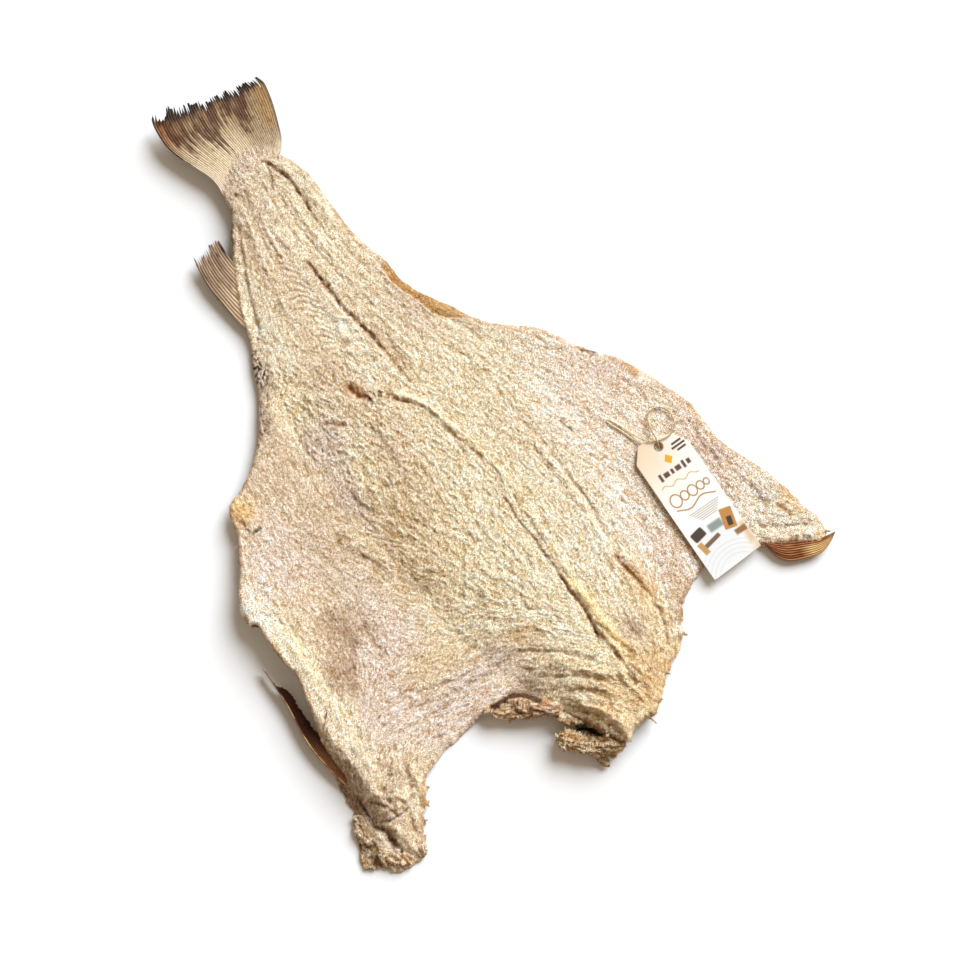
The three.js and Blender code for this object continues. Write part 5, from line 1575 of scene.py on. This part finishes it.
torn_piece("neck_stub", [
    ((-64, -338, 12), (-40, -356, 17), 20, 19), ((-58, -348, 11), (-22, -366, 15), 18, 19),
    ((-50, -354, 12), (-8, -374, 16), 21, 24), ((-60, -334, 14), (-44, -346, 20), 11, 12),
    ((-40, -362, 12), (-16, -376, 13), 12, 16), ((-38, -364, 8), (-33, -386, 5), 10, 7),
    ((-28, -368, 9), (-22, -381, 7), 8, 6), ((-24, -366, 18), (-14, -348, 24), 8, 18),
    ((-58, -298, 14), (-50, -318, 15), 9, 12), ((-53, -312, 14), (-42, -334, 16), 12, 14),
    ((-44, -328, 17), (-34, -340, 19), 8, 12), ((-50, -340, 6), (-14, -360, 8), 16, 12),
], [], 1.0, 2.2, stub_tint, -35)
torn_piece("bay_roll", [
    ((-108, -279, 15), (-76, -300, 13), 13, 12), ((-94, -289, 13), (-60, -309, 14), 15, 12),
    ((-84, -284, 16), (-44, -316, 18), 19, 17), ((-92, -294, 11), (-84, -301, 10), 7, 6),
    ((-70, -303, 12), (-58, -311, 12), 9, 8), ((-107, -280, 12), (-86, -281, 14), 9, 11),
    ((-92, -281, 14), (-64, -291, 15), 12, 12), ((-100, -274, 7), (-60, -288, 7), 14, 13),
    ((-62, -286, 8), (-38, -328, 8), 18, 15),
], [], 1.0, 1.8, bay_tint, -30)
torn_piece("wing_tip_flap", [
    ((-262, -300, 6), (-270, -336, 4), 14, 8), ((-258, -352, 6), (-236, -366, 6), 14, 10),
    ((-262, -340, 7), (-250, -362, 6), 14, 10), ((-232, -352, 6), (-222, -366, 6), 12, 9),
], [
    ([(-258, -296), (-266, -310), (-273, -323), (-281, -341), (-281, -349), (-269, -354), (-258, -362),
      (-250, -350), (-252, -320)], 0.6, 4.6),
], 1.1, 1.6, tip_tint, 105)


# Small shreds and spikes along the torn edges: foot, tip, width, thickness and colour.
SHREDS = [
    ((22, -361, 17), (27, -374, 14), 4.0, 3.0, (236, 214, 170)),
    ((-8, -366, 20), (-3, -376, 15), 7, 4, (242, 222, 182)),
    ((40, -353, 18), (43, -358, 16), 3.0, 2.4, (232, 208, 166)),
    ((93, -313, 10), (96, -318, 9), 4, 2.2, (222, 190, 142)),
    ((60, -337, 14), (62, -341, 13), 4, 2.4, (230, 204, 160)),
    ((-176, -297, 7), (-181, -301, 6), 3, 1.8, (222, 196, 156)),
    ((-190, -312, 6), (-194, -317, 5), 4, 1.8, (226, 200, 158)),
    ((-198, -324, 6), (-199, -330, 5), 4, 1.8, (216, 184, 138)),
    ((-208, -338, 5), (-212, -343, 4), 4, 2, (228, 204, 166)),
    ((-216, -350, 5), (-219, -355, 4), 4, 2, (222, 192, 148)),
    ((-216, 6, 14), (-222, 2, 13), 4, 2, (226, 194, 142)),
    ((-228, -24, 16), (-234, -22.5, 15), 2.4, 1.2, (240, 228, 208)),
    ((-252, -90, 24), (-258, -94, 22), 5, 2.2, (222, 194, 156)),
    ((-255, -96, 22), (-250, -101, 22), 4, 2, (170, 126, 88)),
    ((-236, -205, 36.0), (-248, -218, 31), 1.1, 1.0, (160, 112, 68)),
    ((262, -300, 11), (266, -303, 10), 3, 1.6, (214, 184, 140)),
    ((-62, -336, 18), (-60, -331, 17), 3.4, 2, (236, 212, 168)),
    ((-52, -336, 20), (-50, -331, 19), 3, 2, (226, 196, 148)),
    ((-90, -298, 11), (-93, -302, 9), 4, 2, (214, 176, 128)),
    ((154, -27, 6), (161, -33, 5.4), 3, 1.2, (222, 190, 146)),
]


def make_shreds():
    sides, rings = 7, 7
    points, faces, tints = [], [], []
    for number, (foot, tip, width, thick, tint) in enumerate(SHREDS):
        foot, tip = np.array(foot, float), np.array(tip, float)
        foot[2] = min(foot[2], top[grid_point(foot[0], foot[1])] + 0.5) if width < 1.5 else foot[2]
        along = tip - foot
        side = np.cross(along, [0, 0, 1.0])
        side /= np.linalg.norm(side)
        upward = np.cross(side, along / np.linalg.norm(along))
        base = len(points)
        for r in range(rings + 1):
            u = r / rings
            fat = (1 - u) ** 0.8 * (1 + 0.35 * math.sin(9 * u + number)) + 0.05
            bend = side * math.sin(2.2 * u + number) * 0.12 * width * u
            for s in range(sides):
                a = 2 * math.pi * s / sides
                points.append(foot + along * u + bend + side * (math.cos(a) * fat * width / 2)
                              + upward * (math.sin(a) * fat * thick / 2))
                tints.append(linear(tint) * (0.9 + 0.15 * math.sin(3 * a + 7 * u + number)))
        faces += tube(rings, sides, base)
        for ring, flip in ((0, True), (rings, False)):
            first = base + ring * sides
            for s in range(1, sides - 1):
                fan = [first, first + s, first + s + 1]
                faces.append(fan[::-1] if flip else fan)
    piece("edge_shreds", np.array(points), faces, np.array(tints), FLESH, "cod")


make_shreds()


# Tag
TAG_OUTLINE = [
    (-28.5, -3.4), (-28.8, -137), (27.2, -134), (27.1, -13.5), (24.4, -6.9), (17, 4.6), (-9, 10.8),
    (-16.8, 11.4),
]
TAG_THICKNESS = 0.9
TAG_HOLE_RADIUS = 3.4
TAG_LEVEL = 0.85
# Soft boxes of the tag's picture: x, y, half sizes, turn, rounding, colour, softness and strength.
TAG_BOXES = [
    (24, -114, 3.0, 11.0, 0, 0, (214, 172, 112), 4.0, 0.85),
    (16, -94, 5.2, 9.5, -0.25, 1.0, (190, 134, 66), 0.5, 1),
    (16, -97, 2.0, 4.0, -0.25, 0.6, (70, 46, 30), 0.5, 1), (20, -110, 6.0, 3.0, 0, 0, (150, 104, 60), 1.0, 1),
    (2, -93, 6.0, 2.6, 0, 1.6, (112, 128, 118), 1.6, 0.85),
    (-17, -92, 5.0, 3.0, 0.2, 2.0, (70, 54, 44), 0.6, 1),
    (-9, -104, 9.0, 1.4, 0.2, 0.8, (120, 92, 66), 0.6, 1),
    (-20, -106, 2.2, 6.0, 0.2, 0.6, (196, 150, 84), 0.6, 1),
]


def box_distance(x, y, cx, cy, half_x, half_y, turn=0.0):
    c, s = math.cos(turn), math.sin(turn)
    u, v = (x - cx) * c + (y - cy) * s, -(x - cx) * s + (y - cy) * c
    dx, dy = np.abs(u) - half_x, np.abs(v) - half_y
    return np.hypot(np.maximum(dx, 0), np.maximum(dy, 0)) + np.minimum(np.maximum(dx, dy), 0)


def tag_print(x, y):
    """A plain print of bars, rings, waves and soft fields in the tag's colours."""
    colour = np.ones(x.shape + (3,)) * linear([251, 247, 240])
    corner = ease(-70, 14, y) * ease(40, -24, x)
    colour = over(colour, (228, 196, 144), 0.75 * corner)
    low = ease(-112, -136, y) * ease(12, 30, x)
    colour = over(colour, (212, 170, 108), 0.9 * low)

    def lay(distance, tint, soft=0.35, strength=1.0):
        nonlocal colour
        colour = over(colour, tint, strength * ease(soft, -soft, distance))

    def ring(cx, cy, radius, thick, tint, squeeze=1.0):
        lay(np.abs(np.hypot((x - cx) / squeeze, y - cy) - radius) - thick, tint, 0.3)

    lay(np.abs(np.hypot(x, y) - TAG_HOLE_RADIUS - 0.6) - 0.7, (120, 84, 50), 0.4)
    lay(np.abs(x - 1) + 0.85 * np.abs(y + 15) - 4.6, (228, 168, 34))
    for row, (start, end) in enumerate(((11, 22), (9, 24), (13, 23))):
        bar = box_distance(x, y, (start + end) / 2, -5 - 3.8 * row, (end - start) / 2, 1.1, 0.03)
        lay(bar, (84, 60, 46), 0.3)
    bars = ((-17, -14, 4), (-12, -6, 2.6), (-4, -1, 2.6), (1, 7, 2.6), (9, 12, 4), (14, 18, 2.6))
    for start, end, tall in bars:
        lay(box_distance(x, y, (start + end) / 2, -27, (end - start) / 2, tall), (98, 68, 60), 0.35)
    wave = y + 38 + 1.6 * np.sin(x / 2.2) + 0.06 * x
    lay(np.maximum(np.abs(wave) - 0.5, np.abs(x + 1) - 20), (190, 156, 108), 0.35)
    for cx, radius in ((-16, 6.5), (-6, 4.6), (3, 5.4), (12, 4.2), (19, 3.2)):
        ring(cx, -53, radius, 0.75, (176, 132, 72), 0.85)
    curl = y + 64 - 2.6 * np.sin(x / 5.0)
    lay(np.maximum(np.abs(curl) - 0.8, np.abs(x) - 21), (176, 132, 72), 0.35)
    for row in range(6):
        text_line = np.maximum(np.abs(y + 72 + 2.0 * row) - 0.5, np.abs(x - 3) - (17 - 1.6 * row))
        lay(text_line, (150, 140, 128), 0.35, 0.75)
    field = box_distance(x, y, -2, -112, 26, 23)
    colour = over(colour, (230, 231, 231), 0.8 * ease(7, -7, field) * ease(26, 10, x))
    for *box, rounding, tint, soft, strength in TAG_BOXES:
        lay(box_distance(x, y, *box) - rounding, tint, soft, strength)
    for k in range(5):
        arc = np.abs(np.hypot(x + 2, y + 150) - 24 - 4.4 * k) - 0.35
        lay(np.maximum(arc, y + 112), (206, 208, 212), 0.7, 0.7)
    return colour * TAG_LEVEL


def make_tag():
    step, corner_round = 0.5, 1.5
    gx, gy = np.meshgrid(np.arange(-30, 29, step), np.arange(-139, 13.5, step))
    ring, fine = [], []
    corners = [Vector(c) for c in TAG_OUTLINE]
    for k, corner in enumerate(corners):
        before = corner + (corners[k - 1] - corner).normalized() * corner_round
        after = corner + (corners[(k + 1) % len(corners)] - corner).normalized() * corner_round
        for u in np.linspace(0, 1, 6):
            ring.append(tuple(before * (1 - u) ** 2 + corner * 2 * u * (1 - u) + after * u * u))
    ring = np.array(ring)
    for a, b in zip(ring, np.roll(ring, -1, 0)):
        count = max(2, int(np.linalg.norm(b - a) / step))
        fine.append(a + (b - a) * np.linspace(0, 1, count, endpoint=False)[:, None])
    far, spot, within = nearest_on(np.vstack(fine), gx.ravel(), gy.ravel())
    depth_of = np.where(within, far, -far).reshape(gx.shape)
    spot = spot.reshape((2,) + gx.shape)
    hole = np.hypot(gx, gy) - TAG_HOLE_RADIUS
    cells_of, rim_here = cells_where((depth_of > 0.1) & (hole > 0.1))
    near_hole = rim_here & (hole < 1.2)
    length = np.maximum(np.hypot(gx, gy), 1e-6)
    px = np.where(near_hole, gx / length * TAG_HOLE_RADIUS, np.where(rim_here, spot[0], gx))
    py = np.where(near_hole, gy / length * TAG_HOLE_RADIUS, np.where(rim_here, spot[1], gy))
    warp = 0.35 * np.sin(px / 24 + 0.6) * np.sin(py / 50) + 0.12 * noise(px, py, 14, 98)
    front, (a, b), total = quads(cells_of), open_edges(cells_of).T, gx.size
    faces = np.vstack([front, front[:, ::-1] + total, np.stack([b, a, a + total, b + total], 1)])
    kept, faces = np.unique(faces, return_inverse=True)
    local = np.concatenate([np.stack([px, py, z + warp * 0.5], -1).reshape(-1, 3)
                            for z in (TAG_THICKNESS - 0.1, 0.1)])[kept]
    # Painted shade: the card's rim is darkened towards its edges.
    colours = over(tag_print(px, py), (150, 118, 84), 0.6 * ease(0.9, 0.1, depth_of) * rim_here)
    plain = np.ones(colours.shape) * linear([214, 202, 182])
    colours = np.concatenate([colours.reshape(-1, 3), plain.reshape(-1, 3)])[kept]
    matrix = np.array(tag_place)
    points = local @ matrix[:3, :3].T + matrix[:3, 3]
    card = grained_material(
        "printed_card", specular=0.4, grain={"per_metre": 1300, "detail": 3}, tone=(0.975, 1.015),
        amount=1.0, bump=(0.05, 0.4), roughness=(0.42, 0.55))
    piece("tag_card", points, faces.reshape(-1, 4), colours, card, "tag")


make_tag()


# Floor and light
FLOOR_REACH = 30  # metres to each side
KEY_LIGHT = {
    "azimuth": 23, "elevation": 38, "spread_angle": 42, "strength": 5.34, "colour": (0.92, 1.0, 1.08),
}
SKY_COLOUR = (1.0, 0.80, 0.60, 1)
SKY_STRENGTH = 0.42


def make_floor():
    mesh = bpy.data.meshes.new("floor")
    corners = [(x * FLOOR_REACH, y * FLOOR_REACH, 0) for x, y in ((-1, -1), (1, -1), (1, 1), (-1, 1))]
    mesh.from_pydata(corners, [], [(0, 1, 2, 3)])
    floor = bpy.data.objects.new("floor", mesh)
    scene.collection.objects.link(floor)
    s = Shader("white_floor", roughness=0.9, specular=0.0)
    cloud = s.noise(3, detail=2)
    mesh.materials.append(s.finish(s.ramp(cloud, [(0.3, (0.79, 0.79, 0.79)), (0.7, (0.81, 0.81, 0.81))])))


def make_light(name, azimuth, elevation, spread_angle, strength, colour):
    """A distant soft lamp, for even light all over the floor."""
    light = bpy.data.lights.new(name, "SUN")
    light.angle = math.radians(spread_angle)
    light.energy = strength
    light.color = colour
    lamp = bpy.data.objects.new(name, light)
    a, e = math.radians(azimuth), math.radians(elevation)
    towards = Vector((math.cos(a) * math.cos(e), math.sin(a) * math.cos(e), math.sin(e)))
    lamp.location = towards * 3
    lamp.rotation_euler = (-towards).to_track_quat("-Z", "Y").to_euler()
    scene.collection.objects.link(lamp)


make_floor()
make_light("key", **KEY_LIGHT)
world = bpy.data.worlds.new("studio")
world.use_nodes = True
world.node_tree.nodes["Background"].inputs["Color"].default_value = SKY_COLOUR
world.node_tree.nodes["Background"].inputs["Strength"].default_value = SKY_STRENGTH
scene.world = world
scene.view_settings.view_transform = "Standard"
scene.view_settings.look = "None"
scene.view_settings.exposure = 0
scene.view_settings.gamma = 1
